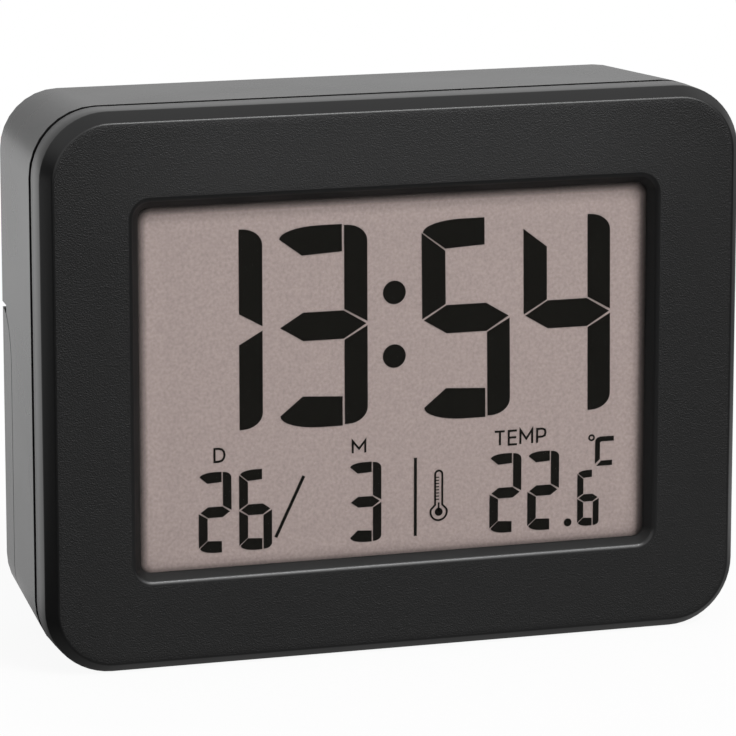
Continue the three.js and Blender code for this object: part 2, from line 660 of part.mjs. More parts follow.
// Body of a push switch, with the hole that its plunger sinks into.
function switchBody() {
  const body = solid(block(0, KEY_Z, SWITCH_SIZE, SWITCH_SIZE, keyBoardBack, switchBack));
  const hole = post(0, KEY_Z, PLUNGER_R + CLOSE_FIT, switchBack - PLUNGER_HOLE, switchBack + FIT);
  return geometryOf(body.subtract(solid(hole)));
}

// Body of the alarm slide switch, with the slot that the knob's lever runs in.
function slideSwitchBody() {
  const body = solid(block(KNOB_X, KEY_Z, slideWidth, SWITCH_SIZE, keyBoardBack, switchBack));
  const slotHeight = LEVER_THICKNESS + 2 * FIT;
  const slotFloor = switchBack - LEVER_SUNK - FIT;
  const slot = block(KNOB_X, KEY_Z, slideSlotWidth, slotHeight, slotFloor, switchBack + FIT);
  return geometryOf(body.subtract(solid(slot)));
}

// Alarm knob at its off end: finger piece with ridges, flange behind the slot and lever.
function alarmKnob() {
  const x = KNOB_X - KNOB_TRAVEL / 2;
  let body = solid(block(x, KEY_Z, KNOB_WIDTH, KNOB_HEIGHT, keyFlangeFront, keyTop));
  const flange = [KNOB_WIDTH + 2 * KNOB_FLANGE, KNOB_HEIGHT + 4 * KNOB_FLANGE];
  body = body.add(solid(block(x, KEY_Z, flange[0], flange[1], keyFlangeFront, keyFlangeBack)));
  const leverFront = switchBack - LEVER_SUNK;
  body = body.add(solid(block(x, KEY_Z, LEVER_WIDTH, LEVER_THICKNESS, leverFront, keyFlangeBack)));
  for (const side of [-1, 0, 1]) {
    const grooveX = x + side * KNOB_GROOVE_PITCH;
    const grooveFloor = keyTop - KNOB_GROOVE;
    const groove = block(grooveX, KEY_Z, KNOB_GROOVE, KNOB_HEIGHT + FIT, grooveFloor, keyTop + FIT);
    body = body.subtract(solid(groove));
  }
  return geometryOf(body);
}

// Key board with holes for its screws.
function keyBoard() {
  const holes = [-1, 1].map((side) => dot(side * keyBoardScrewX, KEY_Z, BOARD_SCREW.shank + FIT));
  const outline = roundedPoints(keyBoardWidth, KEY_BOARD_HEIGHT, BOARD_R, 0, KEY_Z);
  return plate(outline, keyBoardFront, keyBoardBack, holes);
}

// Rear casing: leaning shell, tongue, screw bosses, battery bay, hinge lugs, door rails and feet.
function rearCover() {
  const box = (...sizes) => solid(block(...sizes));
  const insetPoints = (inset) => roundedPoints(WIDTH - 2 * inset, HEIGHT - 2 * inset, CORNER_R - inset);
  const tongueOuter = insetPoints(tongueInset);
  const tongueInner = insetPoints(tongueInnerInset);
  const tongueFront = coverFront - TONGUE_LENGTH;
  const tongueBack = coverFront + WALL;
  const shellRings = [coverRing(coverFront), coverRing(DEPTH - REAR_EDGE), coverRing(DEPTH, REAR_EDGE)];
  let body = solid(loft(shellRings));
  body = body.add(solid(plate(tongueOuter, tongueFront, tongueBack)));
  const inside = loft([coverRing(tongueBack, WALL), coverRing(rearInside, WALL)]);
  const room = solid(inside).subtract(standRoom(WALL));
  body = body.subtract(room).subtract(solid(plate(tongueInner, tongueFront - FIT, tongueBack + FIT)));
  body = body.subtract(standRoom(0));

  // Screw bosses with their wells, and room for the posts of the front frame in the tongue.
  for (const [x, z] of caseScrewPlaces) {
    const back = z > 0 ? rearInside + WALL / 2 : stepFront + WALL / 2;
    body = body.add(solid(post(x, z, BOSS_R, BEZEL_DEPTH + FIT, back, ROUND_STEPS)));
    body = body.subtract(solid(post(x, z, WELL_R, coverFront + BOSS_FLOOR, DEPTH + FIT, ROUND_STEPS)));
    body = body.subtract(solid(post(x, z, CASE_SCREW.shank + FIT, BEZEL_DEPTH, DEPTH)));
    body = body.subtract(solid(post(x, z, POST_R + FIT, tongueFront - FIT, BEZEL_DEPTH + FIT)));
  }

  // Battery bay, open to the rear under the door, with slots for the contact tabs.
  const bayOuter = [bayLength + 2 * BAY_WALL, bayHeight + 2 * BAY_WALL];
  body = body.add(box(0, BAY_Z, bayOuter[0], bayOuter[1], bayFloor - BAY_WALL, stepBack - FIT));
  body = body.subtract(box(0, BAY_Z, bayLength, bayHeight, bayFloor, stepBack + FIT));
  const tabSlot = [CONTACT_THICKNESS + 2 * FIT, TAB_WIDTH + 2 * FIT];
  for (const side of [-1, 1]) {
    const x = (bayLength - CONTACT_THICKNESS) / 2;
    const z = BAY_Z + (side * CELL_SPACING) / 2;
    body = body.subtract(box(x, z, tabSlot[0], tabSlot[1], bayFloor - BAY_WALL - FIT, bayFloor + FIT));
  }

  // Rails that the door slides in.
  for (const side of [-1, 1]) {
    const railX = side * (doorWidth / 2 + FIT + RAIL_WALL / 2);
    const lipX = side * (doorWidth / 2 + FIT + RAIL_WALL - (RAIL_WALL + RAIL_LIP + FIT) / 2);
    const railBack = doorBack + FIT + RAIL_LIP_THICKNESS;
    body = body.add(box(railX, BAY_Z, RAIL_WALL, doorHeight, stepFront + WALL / 2, railBack));
    body = body.add(box(lipX, BAY_Z, RAIL_WALL + RAIL_LIP + FIT, doorHeight, doorBack + FIT, railBack));
  }

  // Lugs that carry the pins of the stand.
  const lug = [
    new THREE.Vector2(stepFront, hingeZ - lugR),
    ...arcPoints(hingeDepth, hingeZ, lugR, -1, 1, CORNER_STEPS),
    new THREE.Vector2(stepFront, hingeZ + lugR),
  ];
  for (const side of [-1, 1]) {
    const [x0, x1] = spanOn(side, lugOuterX - LUG_WIDTH, lugOuterX);
    body = body.add(solid(across(lug, x0, x1)).intersect(standRoom(WALL / 2)));
    body = body.subtract(solid(crossPin(x0 - FIT, x1 + FIT, hingeDepth, hingeZ, PIN_R + FIT)));
  }

  // Key field with its openings, the knob's slot, and the bosses under the key board.
  const fieldLeft = keyX[0] - KEY_R - KEY_FIELD_MARGIN;
  const fieldRight = KNOB_X + (KNOB_WIDTH + KNOB_TRAVEL) / 2 + KEY_FIELD_MARGIN;
  const fieldSize = [fieldRight - fieldLeft, 2 * (KEY_R + KEY_FIELD_MARGIN), KEY_FIELD_MARGIN];
  const field = roundedPoints(...fieldSize, (fieldLeft + fieldRight) / 2, KEY_Z);
  body = body.subtract(solid(plate(field, DEPTH - KEY_FIELD_DEPTH, DEPTH + FIT)));
  switchNames.forEach((name, i) => {
    body = body.subtract(solid(plate(keyPoints(name, FIT, switchX[i]), rearInside - FIT, DEPTH)));
  });
  const slotWidth = KNOB_WIDTH + KNOB_TRAVEL + 2 * FIT;
  body = body.subtract(box(KNOB_X, KEY_Z, slotWidth, KNOB_HEIGHT + 2 * FIT, rearInside - FIT, DEPTH));
  for (const side of [-1, 1]) {
    const x = side * keyBoardScrewX;
    const pilotEnd = keyBoardFront + BOARD_SCREW.length + FIT;
    const pilot = post(x, KEY_Z, BOARD_SCREW.shank + CLOSE_FIT, keyBoardBack - FIT, pilotEnd);
    body = body.add(solid(post(x, KEY_Z, BOARD_POST_R, keyBoardBack, rearInside + WALL / 4)));
    body = body.subtract(solid(pilot));
  }

  // Sound and air slots.
  for (let i = 0; i < VENT_COUNT; i++) {
    const x = (i - (VENT_COUNT - 1) / 2) * VENT_PITCH;
    const slot = roundedPoints(VENT_WIDTH, VENT_HEIGHT, VENT_WIDTH / 2 - ROUND_END, x, VENT_Z);
    body = body.subtract(solid(plate(slot, rearInside - FIT, DEPTH + FIT)));
  }

  // Feet that make up for the leaning underside.
  for (const side of [-1, 1]) {
    const x = (side * FOOT_SPACING) / 2;
    const z = BASE_DRAFT / 2 - MIDDLE;
    body = body.add(box(x, z, FOOT_WIDTH, BASE_DRAFT, FOOT_FROM_FACE, FOOT_FROM_FACE + FOOT_DEPTH));
  }
  return geometryOf(body);
}

// The two ends of a stretch of X on one side, in rising order.
function spanOn(side, inner, outer) {
  return side > 0 ? [inner, outer] : [-outer, -inner];
}

// Room that the rear casing leaves for the stand, grown on every side by a margin.
function standRoom(margin) {
  const front = stepBack - margin;
  const top = STAND_TOP + FIT + margin;
  const radius = standRound + FIT + margin;
  const corner = arcPoints(front + radius, top - radius, radius, 2, 1, CORNER_STEPS);
  const rear = [[2 * DEPTH, top], [2 * DEPTH, -HEIGHT], [front, -HEIGHT]];
  const profile = [...corner, ...rear.map(([depth, z]) => new THREE.Vector2(depth, z))];
  const reliefTop = STAND_TOP + RELIEF_HEIGHT + margin;
  const reliefFront = standBack - RELIEF_DEPTH - margin;
  const relief = block(0, reliefTop - HEIGHT / 4, 2 * WIDTH, HEIGHT / 2, reliefFront, 2 * DEPTH);
  return solid(across(profile, -WIDTH, WIDTH)).add(solid(relief));
}

// Fold-out stand: a tray whose side rims are round towards the casing and carry the pins.
function standTray() {
  const outer = loft([
    coverRing(standFront), coverRing(standBack - REAR_EDGE), coverRing(standBack, REAR_EDGE),
  ]);
  const rearSide = [
    [standFront, -MIDDLE], [standBack + FIT, -MIDDLE], [standBack + FIT, STAND_TOP - REAR_EDGE - FIT],
  ].map(([depth, z]) => new THREE.Vector2(depth, z));
  const round = arcPoints(standBack - REAR_EDGE, STAND_TOP - standRound, standRound, 1, 2, CORNER_STEPS);
  const profile = [...rearSide, ...round];
  let body = solid(outer).intersect(solid(across(profile, -WIDTH, WIDTH)));
  body = body.subtract(solid(loft([
    raised(coverRing(standFront - FIT, STAND_WALL)),
    raised(coverRing(standBack - STAND_WALL, STAND_WALL)),
  ])));
  const notchHeight = STAND_DEPTH + lugR + LUG_NOTCH;
  for (const side of [-1, 1]) {
    const [x0, x1] = spanOn(side, lugOuterX - LUG_WIDTH - LUG_NOTCH, lugOuterX + FIT);
    const notchZ = STAND_TOP + FIT - notchHeight / 2;
    const notch = block((x0 + x1) / 2, notchZ, x1 - x0, notchHeight, stepBack, DEPTH);
    const [pin0, pin1] = spanOn(side, lugOuterX - PIN_LENGTH, lugOuterX + STAND_WALL);
    const pin = crossPin(pin0, pin1, hingeDepth, hingeZ, PIN_R);
    body = body.subtract(solid(notch)).add(solid(pin));
  }
  const gripZ = BASE_DRAFT - MIDDLE + GRIP_DEPTH - GRIP_R;
  const grip = post(0, gripZ, GRIP_R, standFront - FIT, standBack - STAND_WALL, ROUND_STEPS);
  return geometryOf(body.subtract(solid(grip)));
}

// A ring of the stand's hollow, carried on upwards past the top of the stand.
function raised(ring) {
  const points = ring.points.map((p) => (p.y > 0 ? new THREE.Vector2(p.x, p.y + HEIGHT) : p));
  return { depth: ring.depth, points };
}

// Battery door with thumb ridges near its upper edge.
function batteryDoor() {
  let body = solid(plate(roundedPoints(doorWidth, doorHeight, DOOR_R, 0, BAY_Z), doorFront, doorBack));
  for (let i = 0; i < DOOR_RIDGES; i++) {
    const z = BAY_Z + doorHeight / 2 - 3 - i * DOOR_RIDGE_PITCH;
    const ridgeBack = doorBack + DOOR_RIDGE_SIZE;
    const ridge = block(0, z, DOOR_RIDGE_LENGTH, DOOR_RIDGE_SIZE, doorBack - FIT, ridgeBack);
    body = body.add(solid(ridge));
  }
  return geometryOf(body);
}

// AAA cell along its own Y, with the negative end at the origin.
function cellGeometry() {
  const edge = 0.6;
  const profile = [
    [0, 0], [CELL_R - edge, 0], [CELL_R, edge], [CELL_R, CELL_LENGTH - edge], [CELL_R - edge, CELL_LENGTH],
    [NUB_R, CELL_LENGTH], [NUB_R, CELL_LENGTH + NUB_LENGTH], [0, CELL_LENGTH + NUB_LENGTH],
  ];
  return new THREE.LatheGeometry(profile.map(([r, y]) => new THREE.Vector2(r, y)), ROUND_STEPS);
}

// Centre line of a battery spring: a helix that narrows towards its tip, along +Y.
class SpringLine extends THREE.Curve {
  getPoint(t, target = new THREE.Vector3()) {
    const angle = t * SPRING_TURNS * 2 * Math.PI;
    const radius = THREE.MathUtils.lerp(SPRING_R, SPRING_TIP_R, t);
    const height = t * (SPRING_LENGTH - FIT - SPRING_WIRE_R);
    return target.set(radius * Math.cos(angle), height, radius * Math.sin(angle));
  }
}

// Battery spring, with its base turn half sunk in its contact.
function springGeometry() {
  const section = new THREE.Shape(dot(0, 0, SPRING_WIRE_R, 5));
  return new THREE.ExtrudeGeometry(section, {
    steps: 8 * SPRING_TURNS,
    bevelEnabled: false,
    extrudePath: new SpringLine(),
  });
}

// A contact plate at one end of the bay, with a spring or a tab where asked.
function contact(side, z, height, springZ, tabZ) {
  const x = side * (bayLength - CONTACT_THICKNESS) / 2;
  const low = bayFloor + FIT;
  let body = solid(block(x, z, CONTACT_THICKNESS, height, low, low + CONTACT_WIDTH));
  if (tabZ !== null) {
    const tabFront = bayFloor - BAY_WALL - TAB_REACH;
    body = body.add(solid(block(x, tabZ, CONTACT_THICKNESS, TAB_WIDTH, tabFront, low + 1)));
  }
  if (springZ !== null) {
    const inward = x - (side * CONTACT_THICKNESS) / 2;
    const spring = springGeometry().rotateZ((side * Math.PI) / 2);
    body = body.add(solid(spring.translate(inward, at(cellDepth), MIDDLE + springZ)));
  }
  return geometryOf(body);
}

// Ribbon between the two boards, an S from the side.
function ribbonCable() {
  const start = new THREE.Vector2(boardBack + FIT, KEY_Z - RIBBON_DROP[0]);
  const end = new THREE.Vector2(keyBoardFront - FIT, KEY_Z - RIBBON_DROP[1]);
  const middle = (start.x + end.x) / 2;
  const line = new THREE.CubicBezierCurve(
    start, new THREE.Vector2(middle, start.y), new THREE.Vector2(middle, end.y), end,
  );
  const edge = (side) => line.getPoints(CORNER_STEPS).map((p, i) => {
    const along = line.getTangent(i / CORNER_STEPS).multiplyScalar((side * RIBBON_THICKNESS) / 2);
    return new THREE.Vector2(p.x - along.y, p.y + along.x);
  });
  const half = RIBBON_WIDTH / 2;
  return across([...edge(-1), ...edge(1).reverse()], RIBBON_X - half, RIBBON_X + half);
}

// Battery wire from a contact tab down to the main board.
function batteryWire(z, reach) {
  const x = (bayLength - CONTACT_THICKNESS) / 2;
  const tabEnd = bayFloor - BAY_WALL - TAB_REACH - FIT;
  const low = boardBack + FIT;
  const middle = (low + tabEnd) / 2;
  const route = [[0, tabEnd], [0, middle], [reach / 2, middle], [reach, middle], [reach, low]].map(
    ([along, depth]) => new THREE.Vector3(x + along, at(depth), MIDDLE + z),
  );
  const line = new THREE.CatmullRomCurve3(route);
  const section = new THREE.Shape(dot(0, 0, WIRE_R, 6));
  return new THREE.ExtrudeGeometry(section, { steps: 12, bevelEnabled: false, extrudePath: line });
}

const clock = new THREE.Group();
clock.name = "digital_alarm_clock";

const front = new THREE.Group();
clock.add(front);
piece(front, "front_bezel", frontBezel(), finishes.face);
piece(front, "window_lens", windowLens(), finishes.lens);

const display = new THREE.Group();
front.add(display);
piece(display, "lcd_face", lcdFace(), finishes.lcdGround);
piece(display, "lcd_segments", plate(displayPoints(), segmentsFront, glassFront), finishes.lcdDark);
piece(display, "lcd_rear_glass", plate(displayPoints(), glassFront, zebraFront), finishes.glass);
const framePoints = displayPoints(FIT + LCD_FRAME_WALL);
const holder = plate(framePoints, plateBack, boardFront, [displayPoints(FIT)]);
piece(display, "lcd_frame", holder, finishes.holder);
for (const [name, side] of [["zebra_strip_upper", 1], ["zebra_strip_lower", -1]]) {
  const z = WINDOW_Z + side * (lcdHeight / 2 - ZEBRA_INSET - ZEBRA_WIDTH / 2);
  const strip = block(windowX, z, lcdWidth - 2 * ZEBRA_END, ZEBRA_WIDTH, zebraFront, boardFront);
  piece(display, name, strip, finishes.rubber);
}

const electronics = new THREE.Group();
clock.add(electronics);
piece(electronics, "main_board", mainBoard(), finishes.board);
const onBoard = (x, z) => [x, at(boardBack), MIDDLE + z];
piece(electronics, "clock_chip", chipDome(), finishes.epoxy, onBoard(...CHIP_PLACE));
piece(electronics, "buzzer", buzzerCan(), finishes.epoxy, onBoard(...BUZZER_PLACE));
const crystal = new THREE.CylinderGeometry(CRYSTAL_R, CRYSTAL_R, CRYSTAL_LENGTH, SMALL_ROUND_STEPS);
crystal.rotateZ(Math.PI / 2).translate(0, CRYSTAL_R, 0);
piece(electronics, "crystal", crystal, finishes.steel, onBoard(...CRYSTAL_PLACE));
CAPACITOR_X.forEach((x, i) => {
  const can = new THREE.CylinderGeometry(CAPACITOR_R, CAPACITOR_R, CAPACITOR_HEIGHT, ROUND_STEPS);
  can.translate(0, CAPACITOR_HEIGHT / 2, 0);
  piece(electronics, "capacitor_" + (i + 1), can, finishes.sleeve, onBoard(x, CAPACITOR_Z));
});
piece(electronics, "temperature_sensor", sensorBead(), finishes.epoxy, onBoard(...SENSOR_PLACE));
boardScrewPlaces.forEach(([x, z], i) => {
  piece(electronics, "board_screw_" + (i + 1), screwGeometry(BOARD_SCREW), finishes.steel, onBoard(x, z));
});

const controls = new THREE.Group();
clock.add(controls);
piece(controls, "key_board", keyBoard(), finishes.board);
switchNames.forEach((name, i) => {
  const place = [switchX[i], 0, 0];
  piece(controls, "switch_" + name, switchBody(), finishes.darkMetal, place);
  const plunger = post(0, KEY_Z, PLUNGER_R, switchBack - PLUNGER_SUNK, plungerBack);
  piece(controls, "plunger_" + name, plunger, finishes.epoxy, place);
  piece(controls, "key_" + name, keyCap(name), finishes.key, place);
});
piece(controls, "alarm_switch", slideSwitchBody(), finishes.darkMetal);
piece(controls, "alarm_knob", alarmKnob(), finishes.key);
[-1, 1].forEach((side, i) => {
  const screw = screwGeometry(BOARD_SCREW).rotateX(Math.PI);
  const place = [side * keyBoardScrewX, at(keyBoardFront), MIDDLE + KEY_Z];
  piece(controls, "key_board_screw_" + (i + 1), screw, finishes.steel, place);
});
piece(controls, "ribbon_cable", ribbonCable(), finishes.cable);

const power = new THREE.Group();
clock.add(power);
const upperCellZ = BAY_Z + CELL_SPACING / 2;
const lowerCellZ = BAY_Z - CELL_SPACING / 2;
const linkHeight = CELL_SPACING + CONTACT_HEIGHT;
const positive = contact(1, upperCellZ, CONTACT_HEIGHT, null, upperCellZ);
const negative = contact(1, lowerCellZ, CONTACT_HEIGHT, lowerCellZ, lowerCellZ);
piece(power, "contact_positive", positive, finishes.steel);
piece(power, "contact_negative", negative, finishes.steel);
piece(power, "contact_link", contact(-1, BAY_Z, linkHeight, upperCellZ, null), finishes.steel);
const cellStart = bayLength / 2 - CONTACT_THICKNESS - SPRING_LENGTH;
for (const [name, side, z] of [["battery_upper", 1, upperCellZ], ["battery_lower", -1, lowerCellZ]]) {
  const place = [-side * cellStart, at(cellDepth), MIDDLE + z];
  const cell = piece(power, name, cellGeometry(), finishes.cell, place);
  cell.rotation.z = (-side * Math.PI) / 2;
}
piece(power, "wire_positive", batteryWire(upperCellZ, 5), finishes.wireRed);
piece(power, "wire_negative", batteryWire(lowerCellZ, 8), finishes.wireBlack);

const rear = new THREE.Group();
clock.add(rear);
piece(rear, "rear_cover", rearCover(), finishes.casing);
piece(rear, "battery_door", batteryDoor(), finishes.casing);
piece(rear, "stand", standTray(), finishes.casing);
caseScrewPlaces.forEach(([x, z], i) => {
  const place = [x, at(coverFront + BOSS_FLOOR), MIDDLE + z];
  piece(rear, "rear_screw_" + (i + 1), screwGeometry(CASE_SCREW), finishes.darkMetal, place);
});

export default clock;
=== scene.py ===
import json
import math

import bmesh
import bpy
import numpy as np
from mathutils import Matrix, Vector

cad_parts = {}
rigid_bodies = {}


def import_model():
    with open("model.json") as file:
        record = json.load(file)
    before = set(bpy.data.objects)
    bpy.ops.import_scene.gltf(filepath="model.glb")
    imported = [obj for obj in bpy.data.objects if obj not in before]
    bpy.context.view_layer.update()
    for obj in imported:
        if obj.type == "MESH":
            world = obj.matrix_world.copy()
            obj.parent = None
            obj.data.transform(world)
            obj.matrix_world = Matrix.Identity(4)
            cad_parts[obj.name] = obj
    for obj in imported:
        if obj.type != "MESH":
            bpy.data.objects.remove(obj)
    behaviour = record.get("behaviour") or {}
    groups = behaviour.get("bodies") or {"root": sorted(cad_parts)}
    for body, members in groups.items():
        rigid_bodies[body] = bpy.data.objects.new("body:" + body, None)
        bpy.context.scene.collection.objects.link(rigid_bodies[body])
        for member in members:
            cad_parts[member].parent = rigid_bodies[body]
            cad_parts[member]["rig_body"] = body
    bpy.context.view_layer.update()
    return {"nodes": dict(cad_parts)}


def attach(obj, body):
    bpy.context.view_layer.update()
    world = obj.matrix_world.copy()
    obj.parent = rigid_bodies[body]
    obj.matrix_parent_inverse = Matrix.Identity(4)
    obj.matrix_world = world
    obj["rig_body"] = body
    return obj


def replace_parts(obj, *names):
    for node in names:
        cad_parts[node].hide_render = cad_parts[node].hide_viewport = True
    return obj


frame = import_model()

# The looks of a digital alarm clock: casing, display, controls and what shows behind them.
# The display faces -Y. Sizes of pieces are written in millimetres and turned to metres where a mesh is built.
MM = 0.001

# Casing, as in the solids
WIDTH, HEIGHT, DEPTH = 105.0, 81.0, 35.3
MIDDLE = HEIGHT / 2
CORNER_R = 9.8
WALL = 1.8
BEZEL_DEPTH = 7.0
EDGE_INSET, EDGE_DEPTH = 1.45, 2.1

# Window: width, height and corner radius at the face, its soft edge, and its bevel down to the clear sheet
WINDOW_SIZE = (79.1, 55.4, 2.8)
WINDOW_CENTRE = (-0.2, 0.2)
WINDOW_EDGE_R = 0.9
WINDOW_BEVEL, WINDOW_BEVEL_DEPTH = 1.25, 1.4
LENS_FRONT, LENS_BACK = 1.6, 2.6
POCKET_MARGIN = 2.3

# Profile of the front frame, from the window outwards, as (depth, inset) in mm
BEVEL_FOOT = [(0.05, 0.0), (-0.08, 0.09)]  # depth beyond WINDOW_BEVEL_DEPTH, and out from the bevel's foot
LIP_FLAT = 0.3  # flat of the face that belongs to the lip, beyond its soft edge
FACE_EDGE = [(0.0, 1.1), (0.0, 0.26), (0.03, 0.09), (0.11, -0.04), (0.26, -0.17)]  # inset beyond EDGE_INSET
BAND_EDGE = [(-0.16, 0.11), (-0.03, 0.025), (0.12, 0.0)]  # depth beyond EDGE_DEPTH
REAR_EDGE = [(-0.16, 0.0), (-0.04, 0.04), (0.0, 0.16)]  # depth beyond BEZEL_DEPTH

# Display layers, as depths behind the face, and the painted shade round the rim of the clear sheet, which
# stands in for the shade of the frame's lip
FIGURES_FRONT, FIGURES_BACK = 2.93, 2.99
GROUND_FRONT, GROUND_BACK = 3.02, 3.3
GROUND_SIZE = (81.8, 58.1, 3.55)
PAINTED_RIM_SIZE = (76.95, 53.65, 2.2)
PAINTED_RIM_CENTRE = (-0.12, -0.12)
PAINTED_SHADE_WIDTH, PAINTED_SHADE_ALPHA, CLEAR_ALPHA = 1.5, 0.95, 0.03  # how wide the rim fades, and how dark rim and sheet are
# Painted light: the film is made lighter towards its rim, to offset the frame's shadow there
FILM_DARK, FILM_LIGHT = (0.328, 0.262, 0.246, 1), (0.417, 0.334, 0.312, 1)
FILM_PAINTED_LIGHT_WIDTH, FILM_PAINTED_LIGHT_GAIN = 5.0, 1.16  # the film's gain at its rim, and the width over which it evens out
MOTTLE_SCALE, MOTTLE_SPAN = 2200.0, (0.3, 0.7)

# Painted light: the face's colour is made lighter along the middle of its top, where light from above falls;
# spans of Z above the table and of |X|, and the gain
PAINTED_LIGHT_Z, PAINTED_LIGHT_X = (60.0, 72.0), (28.0, 50.0)
FACE_PAINTED_LIGHT, PAINTED_LIGHT_AT_SIDE = 1.9, 0.1

# Figures: sizes of their bars, the bars that each symbol lights, and then each one's symbol, size, X and Z of
# its lower left corner from the middle of the face, and slant. Dots and rings are X, Z and radius.
BIG_DIGIT = dict(width=13.25, height=29.3, bar=3.46, beam=3.95, gap=0.34, inset=0.15)
SMALL_DIGIT = dict(width=4.85, height=11.8, bar=1.26, beam=1.5, gap=0.21, inset=0.24)
TENTH_DIGIT = dict(width=3.33, height=8.35, bar=0.9, beam=1.05, gap=0.2, inset=0.2)
LIT_BARS = {"1": "bc", "2": "abged", "3": "abgcd", "4": "fgbc", "5": "afgcd", "6": "afgedc"}
FIGURES = [
    ("1", BIG_DIGIT, -33.06, -6.6, 0.0), ("3", BIG_DIGIT, -17.37, -6.75, 0.1),
    ("5", BIG_DIGIT, 4.2, -6.9, 0.3), ("4", BIG_DIGIT, 19.75, -7.1, 0.3),
    ("2", SMALL_DIGIT, -29.42, -24.32, 0.0), ("6", SMALL_DIGIT, -23.37, -24.32, 0.0),
    ("3", SMALL_DIGIT, -6.82, -24.4, 0.0), ("2", SMALL_DIGIT, 14.72, -24.58, 0.0),
    ("2", SMALL_DIGIT, 20.6, -24.62, 0.0), ("6", TENTH_DIGIT, 28.38, -24.52, 0.0),
]
DEGREE_RING = (30.5, -11.33, 0.39)
DEGREE_LETTER_AT = (31.08, -15.6)
DEGREE_LETTER = [
    [(0, 0.3), (0.74, 0.98), (0.74, 3.45), (0.95, 3.62), (2.9, 3.62), (2.9, 4.34), (0.75, 4.34), (0.3, 4.17),
     (0.06, 3.87), (0, 3.6)],
    [(0.22, -0.04), (2.65, -0.04), (2.65, 0.72), (0.95, 0.72)],
]
DOTS = [(0.0, 12.15, 1.72), (0.0, 2.8, 1.73), (26.88, -23.85, 0.59)]
SLASH, SLASH_LINE = [(-17.95, -22.8), (-13.7, -14.0)], 0.46
UPRIGHT, UPRIGHT_LINE = [(3.25, -24.15), (3.25, -12.5)], 0.43

# Small labels: strokes in a unit square, each with whether it closes; then X, Z, width and height of each
LETTERS = {
    "D": [([(0, 0), (0, 1), (0.45, 1), (0.75, 0.93), (0.93, 0.75), (1, 0.5), (0.93, 0.25), (0.75, 0.07),
            (0.45, 0)], True)],
    "M": [([(0, 0), (0, 1), (0.5, 0.35), (1, 1), (1, 0)], False)],
    "T": [([(0, 1), (1, 1)], False), ([(0.53, 0), (0.53, 1)], False)],
    "E": [([(1, 1), (0, 1), (0, 0), (1, 0)], False), ([(0, 0.51), (0.92, 0.51)], False)],
    "P": [([(0, 0), (0, 1), (0.62, 1), (0.9, 0.93), (1, 0.72), (0.9, 0.5), (0.62, 0.42), (0, 0.42)], False)],
}
LABELS = [
    ("D", -27.05, -11.02, 1.5, 1.9), ("M", -6.3, -11.16, 1.9, 1.78),
    ("T", 15.45, -11.5, 1.5, 2.05), ("E", 17.6, -11.5, 1.25, 2.05),
    ("M", 19.41, -11.5, 1.82, 2.05), ("P", 22.0, -11.5, 1.3, 2.05),
]
LETTER_LINE = 0.29

# Thermometer sign
THERMOMETER_X = 6.83
TUBE_R, TUBE_TOP, TUBE_END = 0.55, -14.64, -19.75
BULB_Z, BULB_R, BULB_DOT, SHOULDER_ANGLE = -20.8, 1.25, 0.6, 20.0
TICK_Z, TICKS, TICK_LENGTH, STEM_END = (-15.62, -18.91), 8, 0.6, 0.5
OUTLINE_LINE, FINE_LINE, TICK_LINE = 0.27, 0.24, 0.14

# Stage, in metres. A ramp is (from, to), (level there, level there) along an axis.
FLOOR_HALF = 3.0
SEEN_WHITE = (0.07, 0.14), (0.93, 1.0)  # along the distance from the origin
BEHIND_NEAR = (-0.005, 0.03), (0.04, 0.62)  # along Y
BEHIND_FAR = (0.03, 0.35), (0.0, 0.26)  # along Y
BEHIND_SIDE = (0.09, 0.2), (1.0, 0.25)  # along X
FRONT_NEAR = (-0.008, 0.0), (1.0, 0.0)  # along Y
FRONT_FAR = (-0.2, -0.08), (0.15, 1.0)  # along Y
FRONT_SIDE = (-0.065, -0.04), (0.0, 0.2)  # along X
SKY_BACK = (0.1, 0.7), (0.08, 1.0)  # along the direction's Y
SKY_SIDE = (-0.2, 0.28), (0.45, 0.66)  # along its X
SKY_UP = (0.15, 0.6), (0.0, 0.72)  # along its Z
SKY_FRONT = (-0.7, -0.3), (0.9, 0.0)  # along its Y
SKY_FRONT_TOP = (0.4, 0.6), (1.0, 0.0)  # along its Z
SKY_DIFFUSE = 0.5
LAMP_TARGET = (0, 0, 0.04)
LAMPS = [  # name, place, size, power in watts
    ("key box", (0.42, -0.82, 0.79), (0.7, 0.7), 6.2),
    ("rim box", (0.25, -0.6, 0.8), (0.25, 0.12), 2.2),
]
CAMERA_AT = (-0.19943, -0.62854, 0.17468)
CAMERA_LEFT, CAMERA_ABOVE = 17.6606, 11.656  # degrees from the face's normal
CAMERA_LENS = 223.16


# Meshes

def metres(x, depth, z):
    """Object coordinates of points given by X, depth behind the face and Z from the middle, all in mm."""
    x, depth, z = np.broadcast_arrays(np.asarray(x, float), depth, z)
    return np.stack([x, depth - DEPTH / 2, z + MIDDLE], axis=-1) * MM


def rounded_outline(width, height, radius, centre=(0.0, 0.0), per_corner=14, per_side=5):
    """Closed outline of a rounded rectangle, (n, 2) in mm.

    Corner k is a quarter circle, centre + sign * (half size - radius) + radius * (cos a, sin a) with a from
    (k - 1) to k quarter turns. Each straight side is divided evenly between the end of one corner and the
    start of the next."""
    signs = np.array([(1, -1), (1, 1), (-1, 1), (-1, -1)], float)
    angles = (np.arange(4)[:, None] - 1 + np.linspace(0, 1, per_corner)[None, :]) * (math.pi / 2)
    middles = np.array(centre) + signs * (np.array([width, height]) / 2 - radius)
    arcs = middles[:, None, :] + radius * np.stack([np.cos(angles), np.sin(angles)], axis=-1)
    share = np.arange(1, per_side + 1)[None, :, None] / (per_side + 1)
    sides = arcs[:, -1:, :] * (1 - share) + np.roll(arcs[:, :1, :], -1, axis=0) * share
    return np.concatenate([arcs, sides], axis=1).reshape(-1, 2)


